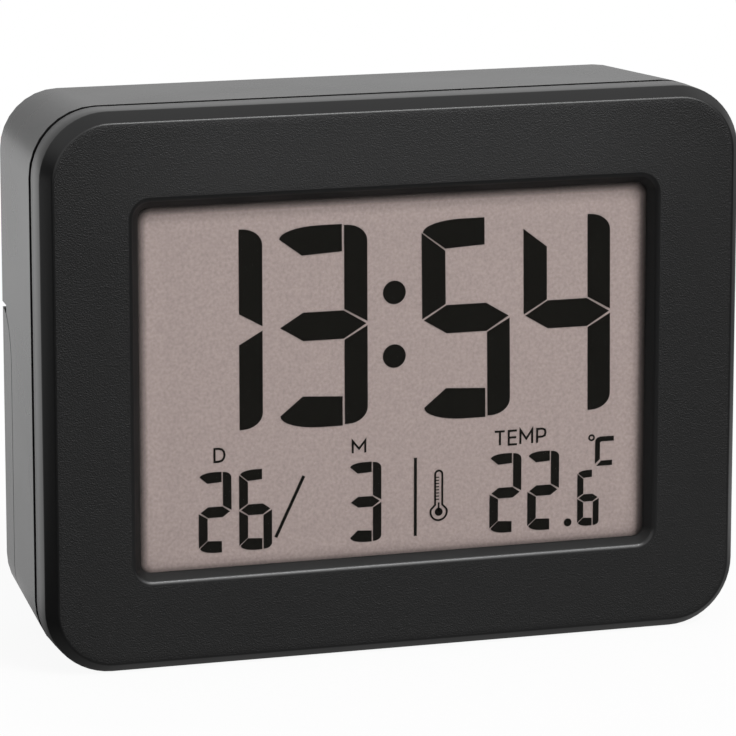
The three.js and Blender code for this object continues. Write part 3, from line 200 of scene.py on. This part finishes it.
def grid_faces(rows, columns, close_rows):
    """Quads between each point of a grid and its neighbours. Columns always close, rows close on request."""
    r = np.arange(rows if close_rows else rows - 1)[:, None]
    c = np.arange(columns)[None, :]
    here, right = r * columns + c, r * columns + (c + 1) % columns
    below = ((r + 1) % rows) * columns
    return np.stack([here, right, below + (c + 1) % columns, below + c], axis=-1).reshape(-1, 4)


def enclosed_volume(points, faces):
    """Signed volume of a closed mesh: the sum of corner triples over each face's fan, divided by six."""
    total = 0.0
    for face in faces:
        p = points[np.asarray(face)]
        total += np.einsum("ij,ij->", np.cross(p[1:-1], p[2:]), np.broadcast_to(p[0], p[1:-1].shape))
    return total / 6


def in_scene(name, data):
    """An object for a mesh, lamp or camera, linked into the scene."""
    thing = bpy.data.objects.new(name, data)
    bpy.context.scene.collection.objects.link(thing)
    return thing


def new_piece(name, points, faces, materials, smooth_angle=35.0, material_index=None):
    """A closed mesh from an array of points and a list of faces, pointing outwards, fixed to the casing."""
    faces = [list(map(int, f)) for f in faces]
    if enclosed_volume(points, faces) < 0:
        faces = [f[::-1] for f in faces]
    mesh = bpy.data.meshes.new(name)
    mesh.from_pydata(points.tolist(), [], faces)
    for material in materials:
        mesh.materials.append(material)
    if material_index is not None:
        mesh.polygons.foreach_set("material_index", np.asarray(material_index, np.int32))
    mesh.shade_smooth()
    mesh.set_sharp_from_angle(angle=math.radians(smooth_angle))
    piece = in_scene(name, mesh)
    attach(piece, "casing")
    return piece


def soften(piece, width, segments=2, angle=30.0):
    """Breaks a piece's sharp edges with a narrow bevel."""
    bevel = piece.modifiers.new("broken edges", "BEVEL")
    bevel.width = width * MM
    bevel.segments = segments
    bevel.limit_method = "ANGLE"
    bevel.angle_limit = math.radians(angle)
    bevel.harden_normals = True
    bevel.use_clamp_overlap = True
    return piece


def refined(node, name, material, edge=0.12, merge=0.002, flat_angle=0.4, smooth_angle=32):
    """A merged copy of a solid: flat parts are joined, round parts shade smoothly, and edges are broken."""
    source = frame["nodes"][node]
    work = bmesh.new()
    work.from_mesh(source.data)
    bmesh.ops.remove_doubles(work, verts=work.verts, dist=merge * MM)
    bmesh.ops.dissolve_limit(work, angle_limit=math.radians(flat_angle), verts=work.verts, edges=work.edges)
    mesh = bpy.data.meshes.new(name)
    work.to_mesh(mesh)
    work.free()
    for attribute in [a.name for a in mesh.attributes if a.name.startswith("custom_normal")]:
        mesh.attributes.remove(mesh.attributes[attribute])
    mesh.materials.clear()
    mesh.materials.append(material)
    mesh.shade_smooth()
    mesh.set_sharp_from_angle(angle=math.radians(smooth_angle))
    piece = in_scene(name, mesh)
    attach(piece, source["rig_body"])
    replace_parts(piece, node)
    return soften(piece, edge)


# Materials

def node_group(name, inputs, outputs):
    """An empty shader node group with named sockets: {name: (type, default)} in, {name: type} out."""
    group = bpy.data.node_groups.new(name, "ShaderNodeTree")
    for socket, (kind, default) in inputs.items():
        made = group.interface.new_socket(socket, in_out="INPUT", socket_type=kind)
        made.default_value = default
    for socket, kind in outputs.items():
        group.interface.new_socket(socket, in_out="OUTPUT", socket_type=kind)
    return group, group.nodes.new("NodeGroupInput"), group.nodes.new("NodeGroupOutput")


def add(tree, kind, links=None, **settings):
    """A node with its settings; links gives values or output sockets for its inputs by name or number."""
    node = tree.nodes.new(kind)
    for key, value in settings.items():
        setattr(node, key, value)
    for key, value in (links or {}).items():
        if isinstance(value, bpy.types.NodeSocket):
            tree.links.new(value, node.inputs[key])
        else:
            node.inputs[key].default_value = value
    return node


def calculate(tree, operation, first, second=0.0):
    """Output of a math node on two values or sockets."""
    return add(tree, "ShaderNodeMath", {0: first, 1: second}, operation=operation).outputs[0]


def scaled(tree, colour, gain):
    """A colour multiplied by a value."""
    return add(tree, "ShaderNodeVectorMath", {0: colour, "Scale": gain}, operation="SCALE").outputs[0]


def steps(tree, value, span, levels):
    """A value that runs from one level to another over a span, and stays level beyond it."""
    node = add(tree, "ShaderNodeMapRange", {"Value": value, "From Min": span[0], "From Max": span[1],
                                            "To Min": levels[0], "To Max": levels[1]})
    return node.outputs[0]


def object_axes(tree):
    """The node that gives X, Y and Z of a point in Object coordinates."""
    place = add(tree, "ShaderNodeTexCoord")
    return add(tree, "ShaderNodeSeparateXYZ", {0: place.outputs["Object"]})


def build_moulded_grain():
    """Height of spark-eroded grain: fine cells whose size is Scale, broken up by noise, from 0 to 1."""
    group, given, result = node_group(
        "moulded grain", {"Scale": ("NodeSocketFloat", 2600.0)}, {"Height": "NodeSocketFloat"})
    place = add(group, "ShaderNodeTexCoord").outputs["Object"]
    scale = given.outputs["Scale"]
    cells = add(group, "ShaderNodeTexVoronoi", {"Vector": place, "Scale": scale, "Smoothness": 0.7},
                feature="SMOOTH_F1")
    fine = add(group, "ShaderNodeTexNoise", {"Vector": place, "Scale": scale, "Detail": 3.0})
    height = calculate(group, "ADD", cells.outputs["Distance"], fine.outputs["Fac"])
    group.links.new(height, result.inputs["Height"])
    return group


def build_handling():
    """Slow changes of tone and gloss over a surface, as from moulding flow and handling."""
    group, given, result = node_group(
        "handling",
        {"Scale": ("NodeSocketFloat", 60.0), "Amount": ("NodeSocketFloat", 0.06),
         "Roughness": ("NodeSocketFloat", 0.4), "Color": ("NodeSocketColor", (0.02, 0.02, 0.02, 1))},
        {"Color": "NodeSocketColor", "Roughness": "NodeSocketFloat"})
    place = add(group, "ShaderNodeTexCoord").outputs["Object"]
    slow = add(group, "ShaderNodeTexNoise", {"Vector": place, "Scale": given.outputs["Scale"], "Detail": 4.0})
    centred = calculate(group, "SUBTRACT", slow.outputs["Fac"], 0.5)
    swing = calculate(group, "MULTIPLY", centred, given.outputs["Amount"])
    rough = calculate(group, "ADD", given.outputs["Roughness"], swing)
    tint = scaled(group, given.outputs["Color"], calculate(group, "ADD", swing, 1.0))
    group.links.new(tint, result.inputs["Color"])
    group.links.new(rough, result.inputs["Roughness"])
    return group


GRAIN = build_moulded_grain()
HANDLING = build_handling()


def plain_material(name):
    """A new material, its node tree and its Principled shader."""
    material = bpy.data.materials.new(name)
    material.use_nodes = True
    tree = material.node_tree
    return material, tree, tree.nodes["Principled BSDF"]


def place_group(tree, group, **values):
    """A shared node group placed in a material with its own values."""
    node = tree.nodes.new("ShaderNodeGroup")
    node.node_tree = group
    for key, value in values.items():
        node.inputs[key].default_value = value
    return node


def plastic(name, colour, roughness, grain=0.0, grain_scale=2600.0, swing=0.05, slow=60.0, metallic=0.0,
            gloss=0.5):
    """Moulded plastic, or metal with metallic 1: grain is the depth of its texture in mm."""
    material, tree, shader = plain_material(name)
    tone = place_group(tree, HANDLING, Scale=slow, Amount=swing, Roughness=roughness, Color=(*colour, 1))
    tree.links.new(tone.outputs["Color"], shader.inputs["Base Color"])
    tree.links.new(tone.outputs["Roughness"], shader.inputs["Roughness"])
    shader.inputs["Metallic"].default_value = metallic
    shader.inputs["Specular IOR Level"].default_value = gloss
    if grain:
        height = place_group(tree, GRAIN, Scale=grain_scale)
        bump = add(tree, "ShaderNodeBump", {"Height": height.outputs["Height"], "Strength": 1.0,
                                            "Distance": grain * MM})
        tree.links.new(bump.outputs["Normal"], shader.inputs["Normal"])
    return material


def inward_share(tree, axes, width):
    """How far a point lies inside the outline used for the window's painted rim shade and the film's painted
    light: 0 at its outline, 1 from 'width' mm inwards.

    With q = |p - centre| - (half size - r) on each axis, the distance inwards from a rounded rectangle is
    r - length(max(q, 0)) - min(max(q_x, q_z), 0)."""
    half_x, half_z = (PAINTED_RIM_SIZE[i] / 2 - PAINTED_RIM_SIZE[2] for i in (0, 1))
    centre_x, centre_z = PAINTED_RIM_CENTRE[0] * MM, (PAINTED_RIM_CENTRE[1] + MIDDLE) * MM
    from_x = calculate(tree, "ABSOLUTE", calculate(tree, "SUBTRACT", axes.outputs["X"], centre_x))
    from_z = calculate(tree, "ABSOLUTE", calculate(tree, "SUBTRACT", axes.outputs["Z"], centre_z))
    q_x = calculate(tree, "SUBTRACT", from_x, half_x * MM)
    q_z = calculate(tree, "SUBTRACT", from_z, half_z * MM)
    squares = [calculate(tree, "POWER", calculate(tree, "MAXIMUM", q, 0.0), 2.0) for q in (q_x, q_z)]
    inside = calculate(tree, "MINIMUM", calculate(tree, "MAXIMUM", q_x, q_z), 0.0)
    beyond = calculate(tree, "ADD", calculate(tree, "SQRT", calculate(tree, "ADD", *squares)), inside)
    distance = calculate(tree, "SUBTRACT", PAINTED_RIM_SIZE[2] * MM, beyond)
    return steps(tree, distance, (0.0, width * MM), (0.0, 1.0))


def display_ground():
    """Reflective film behind the display: taupe, with a fine mottle, and painted light that makes it a little
    lighter towards its rim, against the frame's shade there.
    """
    material, tree, shader = plain_material("display ground")
    place = add(tree, "ShaderNodeTexCoord").outputs["Object"]
    fine = add(tree, "ShaderNodeTexNoise", {"Vector": place, "Scale": MOTTLE_SCALE, "Detail": 2.0})
    mottle = add(tree, "ShaderNodeValToRGB", {"Fac": fine.outputs["Fac"]})
    for element, position, colour in zip(mottle.color_ramp.elements, MOTTLE_SPAN, (FILM_DARK, FILM_LIGHT)):
        element.position = position
        element.color = colour
    # painted light: the film's tone is raised towards its rim against the frame's shade
    middle = inward_share(tree, object_axes(tree), FILM_PAINTED_LIGHT_WIDTH)
    gain = steps(tree, middle, (0.0, 1.0), (FILM_PAINTED_LIGHT_GAIN, 1.0))
    tree.links.new(scaled(tree, mottle.outputs["Color"], gain), shader.inputs["Base Color"])
    shader.inputs["Roughness"].default_value = 0.6
    return material


def clear_window():
    """Clear sheet, open over the display, with painted shade round its rim: its alpha turns dark there to
    stand in for the shade of the frame's lip. The painted rim shade is on the front side alone, and the
    lamps' light passes it."""
    material, tree, shader = plain_material("clear window")
    axes = object_axes(tree)
    light = add(tree, "ShaderNodeLightPath")
    middle = (LENS_FRONT + LENS_BACK) / 2 - DEPTH / 2
    on_front = calculate(tree, "LESS_THAN", axes.outputs["Y"], middle * MM)
    lit = calculate(tree, "SUBTRACT", 1.0, light.outputs["Is Shadow Ray"])
    # painted shade: the sheet turns dark towards the window's outline, where the frame's lip shades the
    # display
    rim = calculate(tree, "SUBTRACT", PAINTED_SHADE_ALPHA, inward_share(tree, axes, PAINTED_SHADE_WIDTH))
    painted_rim_shade = calculate(tree, "MULTIPLY", calculate(tree, "MULTIPLY", on_front, lit), rim)
    tree.links.new(calculate(tree, "MAXIMUM", painted_rim_shade, CLEAR_ALPHA), shader.inputs["Alpha"])
    shader.inputs["Base Color"].default_value = (0.004, 0.004, 0.004, 1)
    shader.inputs["Roughness"].default_value = 0.1
    shader.inputs["Specular IOR Level"].default_value = 0.25
    return material


def grained_face_with_painted_light():
    """The face's grained plastic, with painted light that makes it lighter along the middle of its top: its
    tone is multiplied by 1 plus the painted light gain times a share that rises with Z and falls with |X|."""
    material = plastic("grained face with painted light", (0.0043, 0.0043, 0.0044), 0.46, grain=0.05, grain_scale=5600.0,
                       gloss=0.42)
    tree = material.node_tree
    base = tree.nodes["Principled BSDF"].inputs["Base Color"]
    # painted light: the tone is raised along the middle of the top, as if lit from above
    axes = object_axes(tree)
    span_z, span_x = ([end * MM for end in span] for span in (PAINTED_LIGHT_Z, PAINTED_LIGHT_X))
    high = steps(tree, axes.outputs["Z"], span_z, (0.0, FACE_PAINTED_LIGHT))
    central = steps(tree, calculate(tree, "ABSOLUTE", axes.outputs["X"]), span_x, (1.0, PAINTED_LIGHT_AT_SIDE))
    gain = calculate(tree, "ADD", calculate(tree, "MULTIPLY", high, central), 1.0)
    tree.links.new(scaled(tree, base.links[0].from_socket, gain), base)
    return material


FACE = grained_face_with_painted_light()
RECESS = plastic("window wall", (0.007, 0.007, 0.007), 0.5, swing=0.02, gloss=0.3)
SMOOTH = plastic("smooth frame", (0.0042, 0.0042, 0.0044), 0.3, grain=0.002, grain_scale=900.0, swing=0.04)
CASING = plastic("casing", (0.009, 0.009, 0.0092), 0.27, grain=0.003, grain_scale=1500.0)
KEY = plastic("keys", (0.02, 0.02, 0.0205), 0.5, grain=0.01)
GROUND = display_ground()
DARK = plastic("display figures", (0.006, 0.0055, 0.004), 0.45, swing=0.02, slow=300.0, gloss=0.12)
WINDOW = clear_window()
GLASS = plastic("display glass", (0.5, 0.55, 0.5), 0.1)
HOLDER = plastic("holder", (0.68, 0.68, 0.65), 0.5)
RUBBER = plastic("rubber", (0.25, 0.26, 0.28), 0.8, grain=0.01)
BOARD = plastic("circuit board", (0.02, 0.12, 0.05), 0.4, swing=0.2, slow=400.0)
EPOXY = plastic("black resin", (0.012, 0.012, 0.013), 0.3)
STEEL = plastic("plated steel", (0.56, 0.57, 0.58), 0.3, metallic=1.0)
BLACK_METAL = plastic("blackened steel", (0.07, 0.07, 0.08), 0.4, metallic=1.0)
SLEEVE = plastic("shrink sleeve", (0.015, 0.03, 0.1), 0.3)
CELL = plastic("cell jacket", (0.05, 0.16, 0.07), 0.3, swing=0.1)
CABLE = plastic("cable", (0.32, 0.34, 0.36), 0.5)
RED = plastic("red wire", (0.35, 0.015, 0.015), 0.4)
BLACK = plastic("black wire", (0.01, 0.01, 0.01), 0.4)

# Solids that show as they are, by the start of their names; the first that fits holds
SOLID_MATERIALS = {
    "window_lens": WINDOW, "lcd_rear_glass": GLASS, "lcd_frame": HOLDER, "zebra": RUBBER, "main_board": BOARD,
    "key_board_screw": STEEL, "key_board": BOARD, "clock_chip": EPOXY, "buzzer": EPOXY, "crystal": STEEL,
    "capacitor": SLEEVE, "temperature_sensor": EPOXY, "board_screw": STEEL, "switch_": BLACK_METAL,
    "alarm_switch": BLACK_METAL, "plunger_": EPOXY, "ribbon_cable": CABLE, "contact_": STEEL,
    "battery_": CELL, "wire_positive": RED, "wire_negative": BLACK, "rear_screw": BLACK_METAL,
}


# Front frame

def front_frame():
    """The front frame as one closed skin: a profile of rings carried round the outline.

    Each row is a rounded rectangle at a depth, either the outer outline drawn in by an inset or the window's
    outline grown by a spread. The rows run from the window's rear edge over its bevel and the face, over the
    outer bevel and the band, and back inside. The window's soft edge is an arc that turns from the bevel's
    slope to the face: WINDOW_EDGE_R * (1 - cos a) deep and WINDOW_EDGE_R * sin a in from where it ends."""
    def outer(depth, inset):
        return depth, rounded_outline(WIDTH - 2 * inset, HEIGHT - 2 * inset, CORNER_R - inset)

    def window(depth, spread):
        w, h, r = WINDOW_SIZE
        return depth, rounded_outline(w + 2 * spread, h + 2 * spread, r + spread, WINDOW_CENTRE)

    slope = math.atan2(WINDOW_BEVEL_DEPTH, WINDOW_BEVEL)
    reach = WINDOW_EDGE_R * math.tan(slope / 2)
    foot = [(WINDOW_BEVEL_DEPTH + down, -WINDOW_BEVEL + out) for down, out in BEVEL_FOOT]
    recess = [window(*row) for row in [(LENS_FRONT, -WINDOW_BEVEL), *foot]]
    lip = [window(WINDOW_EDGE_R * (1 - math.cos(a)), reach - WINDOW_EDGE_R * math.sin(a))
           for a in np.linspace(slope, 0, 6)]
    rows = [
        *recess, *lip, window(0.0, reach + LIP_FLAT),
        *(outer(depth, EDGE_INSET + inset) for depth, inset in FACE_EDGE),
        *(outer(EDGE_DEPTH + depth, inset) for depth, inset in BAND_EDGE),
        *(outer(BEZEL_DEPTH + depth, inset) for depth, inset in REAR_EDGE),
        outer(BEZEL_DEPTH, WALL), outer(LENS_BACK, WALL),
        window(LENS_BACK, -WINDOW_BEVEL + POCKET_MARGIN), window(LENS_FRONT, -WINDOW_BEVEL + POCKET_MARGIN),
    ]
    points = np.stack([metres(outline[:, 0], depth, outline[:, 1]) for depth, outline in rows])
    count = points.shape[1]
    faces = grid_faces(len(rows), count, close_rows=True)
    row = np.repeat(np.arange(len(rows)), count)
    face_start = len(recess) + len(lip) - 1
    look = np.select([row < len(recess), (row >= face_start) & (row <= face_start + 2)], [2, 1], 0)
    piece = new_piece("bezel", points.reshape(-1, 3), faces, [SMOOTH, FACE, RECESS],
                      smooth_angle=40.0, material_index=look)
    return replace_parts(piece, "front_bezel")


# Display

def figure_bars(width, height, bar, beam, gap, inset):
    """Outlines of a figure's seven bars from its lower left corner, in mm: a on top, b to f clockwise, g.

    Upright bars are 'bar' wide and lying ones 'beam' high. The top beam ends square against b and is mitred
    against f, with a long curve at its outer left corner. The middle beam is a hexagon, and its pointed ends
    lie 'inset' within the figure. The lowest beam is the top one turned over and a little thicker."""
    middle = height / 2
    tip, lean = 0.45 * beam, 1.08 * beam  # how far a beam's outer tip and its mitre's foot lie below its top
    beam_end = width - bar - gap
    curve = min(0.45 * width, beam_end)
    start = 0.6 * inset
    t = np.linspace(0, math.pi / 2, 9)
    top = np.concatenate([
        np.stack([start + curve * (1 - np.cos(t)), height - tip + tip * np.sin(t)], -1),
        [[beam_end, height], [beam_end, height - beam], [bar, height - lean]],
    ])
    overhang = -0.03 * bar
    upper_left = np.array([
        [overhang, height - tip - 0.15 * gap], [bar, height - lean - 0.9 * gap],
        [bar, middle + beam / 2 + 0.8 * gap], [overhang, middle + 0.6 * gap],
    ])
    half_beam = 0.525 * beam
    left_end, right_end = bar + 0.4 * gap, beam_end + 0.6 * gap
    centre = np.array([
        [inset, middle], [left_end, middle + half_beam], [right_end, middle + half_beam],
        [width - inset, middle], [right_end, middle - half_beam], [left_end, middle - half_beam],
    ])

    def upright(top_end):
        """The right-hand bar above the middle, with an elliptical quarter at its outer top corner."""
        across, drop = 0.88 * bar, 0.68 * bar
        return np.concatenate([
            [[width - bar, top_end]],
            np.stack([width - across + across * np.sin(t), top_end - drop + drop * np.cos(t)], -1),
            [[width, middle + 0.95 * gap], [width - bar, middle + beam / 2 + 0.8 * gap]],
        ])

    def down(points):
        """The same outline in the figure's lower half."""
        return points * (1, -1) + (0, height)

    lowest = down(top) * (1, 1.09) - (0, 0.05 * beam)
    return {"a": top, "b": upright(height - 0.04 * beam), "c": down(upright(height)), "d": lowest,
            "e": down(upper_left), "f": upper_left, "g": centre}


def figure(symbol, size, x, z, slant):
    """The lit bars of a figure at its place. It leans: its foot lies 'slant' to the right of its head."""
    bars = figure_bars(**size)
    height = size["height"]
    return [np.stack([p[:, 0] + x + slant * (1 - p[:, 1] / height), p[:, 1] + z], -1)
            for p in (bars[bar] for bar in LIT_BARS[symbol])]


def flat_shapes(outlines, front, back):
    """Prisms between two depths: each outline gives a front and a rear cap and a wall of quads between."""
    points, faces, start = [], [], 0
    for outline in outlines:
        following = np.roll(outline, -1, axis=0)
        area = np.sum(outline[:, 0] * following[:, 1] - following[:, 0] * outline[:, 1])
        outline = outline if area > 0 else outline[::-1]
        count = len(outline)
        i = np.arange(count)
        points += [metres(outline[:, 0], depth, outline[:, 1]) for depth in (front, back)]
        wall = np.stack([i, i + count, (i + 1) % count + count, (i + 1) % count], -1) + start
        faces += [(i + start).tolist(), (i[::-1] + count + start).tolist(), *wall.tolist()]
        start += 2 * count
    return np.concatenate(points), faces


def strokes(paths, front, back):
    """Flat lines: a square-ended band of width w carried along each path, mitred at its bends.

    At point i the band's half width vector is (n_a + n_b) / (1 + n_a . n_b) * w / 2, where n_a and n_b are
    the normals of the two segments that meet there."""
    points, faces, start = [], [], 0
    for path, width, closed in paths:
        p = np.asarray(path, float)
        ahead = np.roll(p, -1, axis=0) - p
        if not closed:
            ahead[-1] = ahead[-2]
        ahead /= np.linalg.norm(ahead, axis=1, keepdims=True)
        before = np.roll(ahead, 1, axis=0)
        if not closed:
            before[0] = ahead[0]
        n_a, n_b = (np.stack([-v[:, 1], v[:, 0]], -1) for v in (before, ahead))
        half = (n_a + n_b) / (1 + np.sum(n_a * n_b, axis=1, keepdims=True)) * width / 2
        left, right = p + half, p - half
        section = np.stack([metres(side[:, 0], depth, side[:, 1]) for side, depth in
                            ((left, front), (right, front), (right, back), (left, back))], axis=1)
        count = len(p)
        points.append(section.reshape(-1, 3))
        faces += (grid_faces(count, 4, close_rows=closed) + start).tolist()
        if not closed:
            last = start + 4 * (count - 1)
            faces += [[start + 3, start + 2, start + 1, start], [last, last + 1, last + 2, last + 3]]
        start += 4 * count
    return np.concatenate(points), faces


def circle(x, z, radius, corners=24):
    """Outline of a circle: centre + radius * (cos a, sin a)."""
    angle = np.arange(corners) * (2 * math.pi / corners)
    return np.stack([x + radius * np.cos(angle), z + radius * np.sin(angle)], -1)


def thermometer_outline():
    """A tube with a round top that opens into a bulb: a half circle of TUBE_R over the tube, and below it
    the circle of BULB_R from one shoulder round to the other, each a straight line to the tube's end."""
    top = np.linspace(0, math.pi, 13)
    tube = np.stack([THERMOMETER_X + TUBE_R * np.cos(top), TUBE_TOP - TUBE_R + TUBE_R * np.sin(top)], -1)
    around = np.linspace(math.radians(180 - SHOULDER_ANGLE), math.radians(360 + SHOULDER_ANGLE), 21)
    bulb = np.stack([THERMOMETER_X + BULB_R * np.cos(around), BULB_Z + BULB_R * np.sin(around)], -1)
    left, right = ([(THERMOMETER_X + side * TUBE_R, TUBE_END)] for side in (-1, 1))
    return np.concatenate([tube, left, bulb, right])


def display_figures():
    """All that shows dark: bars of the figures, dots, lines, small letters and the thermometer."""
    outlines = [bar for entry in FIGURES for bar in figure(*entry)]
    outlines += [np.array(shape) + DEGREE_LETTER_AT for shape in DEGREE_LETTER]
    outlines += [circle(*dot) for dot in DOTS]
    outlines.append(circle(THERMOMETER_X, BULB_Z, BULB_DOT))
    paths = [(SLASH, SLASH_LINE, False), (UPRIGHT, UPRIGHT_LINE, False)]
    for letter, x, z, w, h in LABELS:
        paths += [(np.array(path) * (w, h) + (x, z), LETTER_LINE, closed) for path, closed in LETTERS[letter]]
    stem = [(THERMOMETER_X, BULB_Z), (THERMOMETER_X, TICK_Z[1] - STEM_END)]
    paths += [(circle(*DEGREE_RING, 16), FINE_LINE, True), (thermometer_outline(), OUTLINE_LINE, True),
              (stem, FINE_LINE, False)]
    tick_start = THERMOMETER_X - TUBE_R
    paths += [([(tick_start, z), (tick_start + TICK_LENGTH, z)], TICK_LINE, False)
              for z in np.linspace(*TICK_Z, TICKS)]
    flat_points, flat_faces = flat_shapes(outlines, FIGURES_FRONT, FIGURES_BACK)
    line_points, line_faces = strokes(paths, FIGURES_FRONT, FIGURES_BACK)
    faces = flat_faces + [[i + len(flat_points) for i in face] for face in line_faces]
    piece = new_piece("display_figures", np.concatenate([flat_points, line_points]), faces, [DARK],
                      smooth_angle=20.0)
    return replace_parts(piece, "lcd_segments")


def display_sheet():
    """The pale film behind the figures: a rounded rectangle with a little thickness."""
    points, faces = flat_shapes([rounded_outline(*GROUND_SIZE, WINDOW_CENTRE)], GROUND_FRONT, GROUND_BACK)
    piece = new_piece("display_sheet", points, faces, [GROUND])
    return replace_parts(piece, "lcd_face")


front_frame()
display_figures()
display_sheet()

refined("rear_cover", "rear_casing", CASING)
refined("stand", "fold_out_stand", CASING, edge=0.15)
refined("battery_door", "door", CASING, edge=0.15)
for key in ("set", "up", "down", "unit", "light"):
    refined("key_" + key, "cap_" + key, KEY, edge=0.2)
refined("alarm_knob", "knob", KEY, edge=0.1)

for node_name, solid in frame["nodes"].items():
    if not solid.hide_render:
        finish = next(material for start, material in SOLID_MATERIALS.items() if node_name.startswith(start))
        solid.data.materials.clear()
        solid.data.materials.append(finish)


# Stage: floor, world, lamps and camera

def mixed(tree, share, first, second):
    """Output of a shader that turns from the first to the second as the share goes from 0 to 1."""
    return add(tree, "ShaderNodeMixShader", {0: share, 1: first, 2: second}).outputs[0]


def white(tree, kind, strength):
    """Output of a white emission or background of a strength."""
    return add(tree, kind, {"Color": (1, 1, 1, 1), "Strength": strength}).outputs[0]


def make_floor():
    """A white floor. Seen by the camera it is nearly white and keeps the clock's shadow. In reflections it is
    bright behind the clock, falls off to the right, is dim in front and dark in front at the left."""
    material, tree, shader = plain_material("floor")
    shader.inputs["Base Color"].default_value = (0.9, 0.9, 0.9, 1)
    shader.inputs["Roughness"].default_value = 0.9
    shader.inputs["Specular IOR Level"].default_value = 0.0
    light = add(tree, "ShaderNodeLightPath")
    place = add(tree, "ShaderNodeTexCoord")
    axes = add(tree, "ShaderNodeSeparateXYZ", {0: place.outputs["Object"]})
    x, y = axes.outputs["X"], axes.outputs["Y"]
    depth = calculate(tree, "ADD", steps(tree, y, *BEHIND_NEAR), steps(tree, y, *BEHIND_FAR))
    behind = calculate(tree, "MULTIPLY", depth, steps(tree, x, *BEHIND_SIDE))
    before = calculate(tree, "MULTIPLY", steps(tree, y, *FRONT_NEAR), steps(tree, x, *FRONT_SIDE))
    before = calculate(tree, "MULTIPLY", before, steps(tree, y, *FRONT_FAR))
    mirrored = white(tree, "ShaderNodeEmission", calculate(tree, "ADD", behind, before))
    away = add(tree, "ShaderNodeVectorMath", {0: place.outputs["Object"]}, operation="LENGTH")
    plain = white(tree, "ShaderNodeEmission", 1.0)
    seen = mixed(tree, steps(tree, away.outputs["Value"], *SEEN_WHITE), shader.outputs[0], plain)
    surface = mixed(tree, light.outputs["Is Camera Ray"], shader.outputs[0], seen)
    surface = mixed(tree, light.outputs["Is Transmission Ray"], surface, plain)
    surface = mixed(tree, light.outputs["Is Glossy Ray"], surface, mirrored)
    tree.links.new(surface, tree.nodes["Material Output"].inputs["Surface"])
    mesh = bpy.data.meshes.new("floor")
    corners = [(a * FLOOR_HALF, b * FLOOR_HALF, 0) for a, b in ((-1, -1), (1, -1), (1, 1), (-1, 1))]
    mesh.from_pydata(corners, [], [(0, 1, 2, 3)])
    mesh.materials.append(material)
    in_scene("floor", mesh)


def make_world():
    """White for the camera and a plain grey for diffuse light. For reflections it is light grey behind the
    clock and above it, brightest low down in front of it, and dim between these."""
    world = bpy.data.worlds.new("studio")
    bpy.context.scene.world = world
    world.use_nodes = True
    tree = world.node_tree
    tree.nodes.clear()
    light = add(tree, "ShaderNodeLightPath")
    place = add(tree, "ShaderNodeTexCoord")
    axes = add(tree, "ShaderNodeSeparateXYZ", {0: place.outputs["Generated"]})
    x, y, z = (axes.outputs[axis] for axis in "XYZ")
    back = calculate(tree, "MULTIPLY", steps(tree, y, *SKY_BACK), steps(tree, x, *SKY_SIDE))
    front = calculate(tree, "MULTIPLY", steps(tree, y, *SKY_FRONT), steps(tree, z, *SKY_FRONT_TOP))
    near = calculate(tree, "ADD", steps(tree, z, *SKY_UP), front)
    mirrored = white(tree, "ShaderNodeBackground", calculate(tree, "MAXIMUM", back, near))
    plain = white(tree, "ShaderNodeBackground", 1.0)
    surface = mixed(tree, light.outputs["Is Glossy Ray"], white(tree, "ShaderNodeBackground", SKY_DIFFUSE),
                    mirrored)
    surface = mixed(tree, light.outputs["Is Transmission Ray"], surface, plain)
    surface = mixed(tree, light.outputs["Is Camera Ray"], surface, plain)
    output = add(tree, "ShaderNodeOutputWorld")
    tree.links.new(surface, output.inputs["Surface"])


def soft_box(name, place, size, power):
    """A rectangular area lamp aimed at the clock."""
    lamp = bpy.data.lights.new(name, "AREA")
    lamp.shape = "RECTANGLE"
    lamp.size, lamp.size_y = size
    lamp.energy = power
    away = Vector(place) - Vector(LAMP_TARGET)
    turn = away.to_track_quat("Z", "Y").to_matrix().to_4x4()
    in_scene(name, lamp).matrix_world = Matrix.Translation(place) @ turn


def make_camera():
    """The photograph's view, from the left of the face's normal and above it."""
    azimuth, elevation = math.radians(CAMERA_LEFT), math.radians(CAMERA_ABOVE)
    back = Vector((-math.sin(azimuth) * math.cos(elevation), -math.cos(azimuth) * math.cos(elevation),
                   math.sin(elevation)))
    right = Vector((math.cos(azimuth), -math.sin(azimuth), 0))
    turn = Matrix((right, back.cross(right), back)).transposed().to_4x4()
    data = bpy.data.cameras.new("camera")
    data.sensor_width = 36.0
    data.lens = CAMERA_LENS
    camera = in_scene("camera", data)
    camera.matrix_world = Matrix.Translation(CAMERA_AT) @ turn
    bpy.context.scene.camera = camera


make_floor()
make_world()
for lamp_settings in LAMPS:
    soft_box(*lamp_settings)
make_camera()
bpy.context.scene.view_settings.view_transform = "Standard"
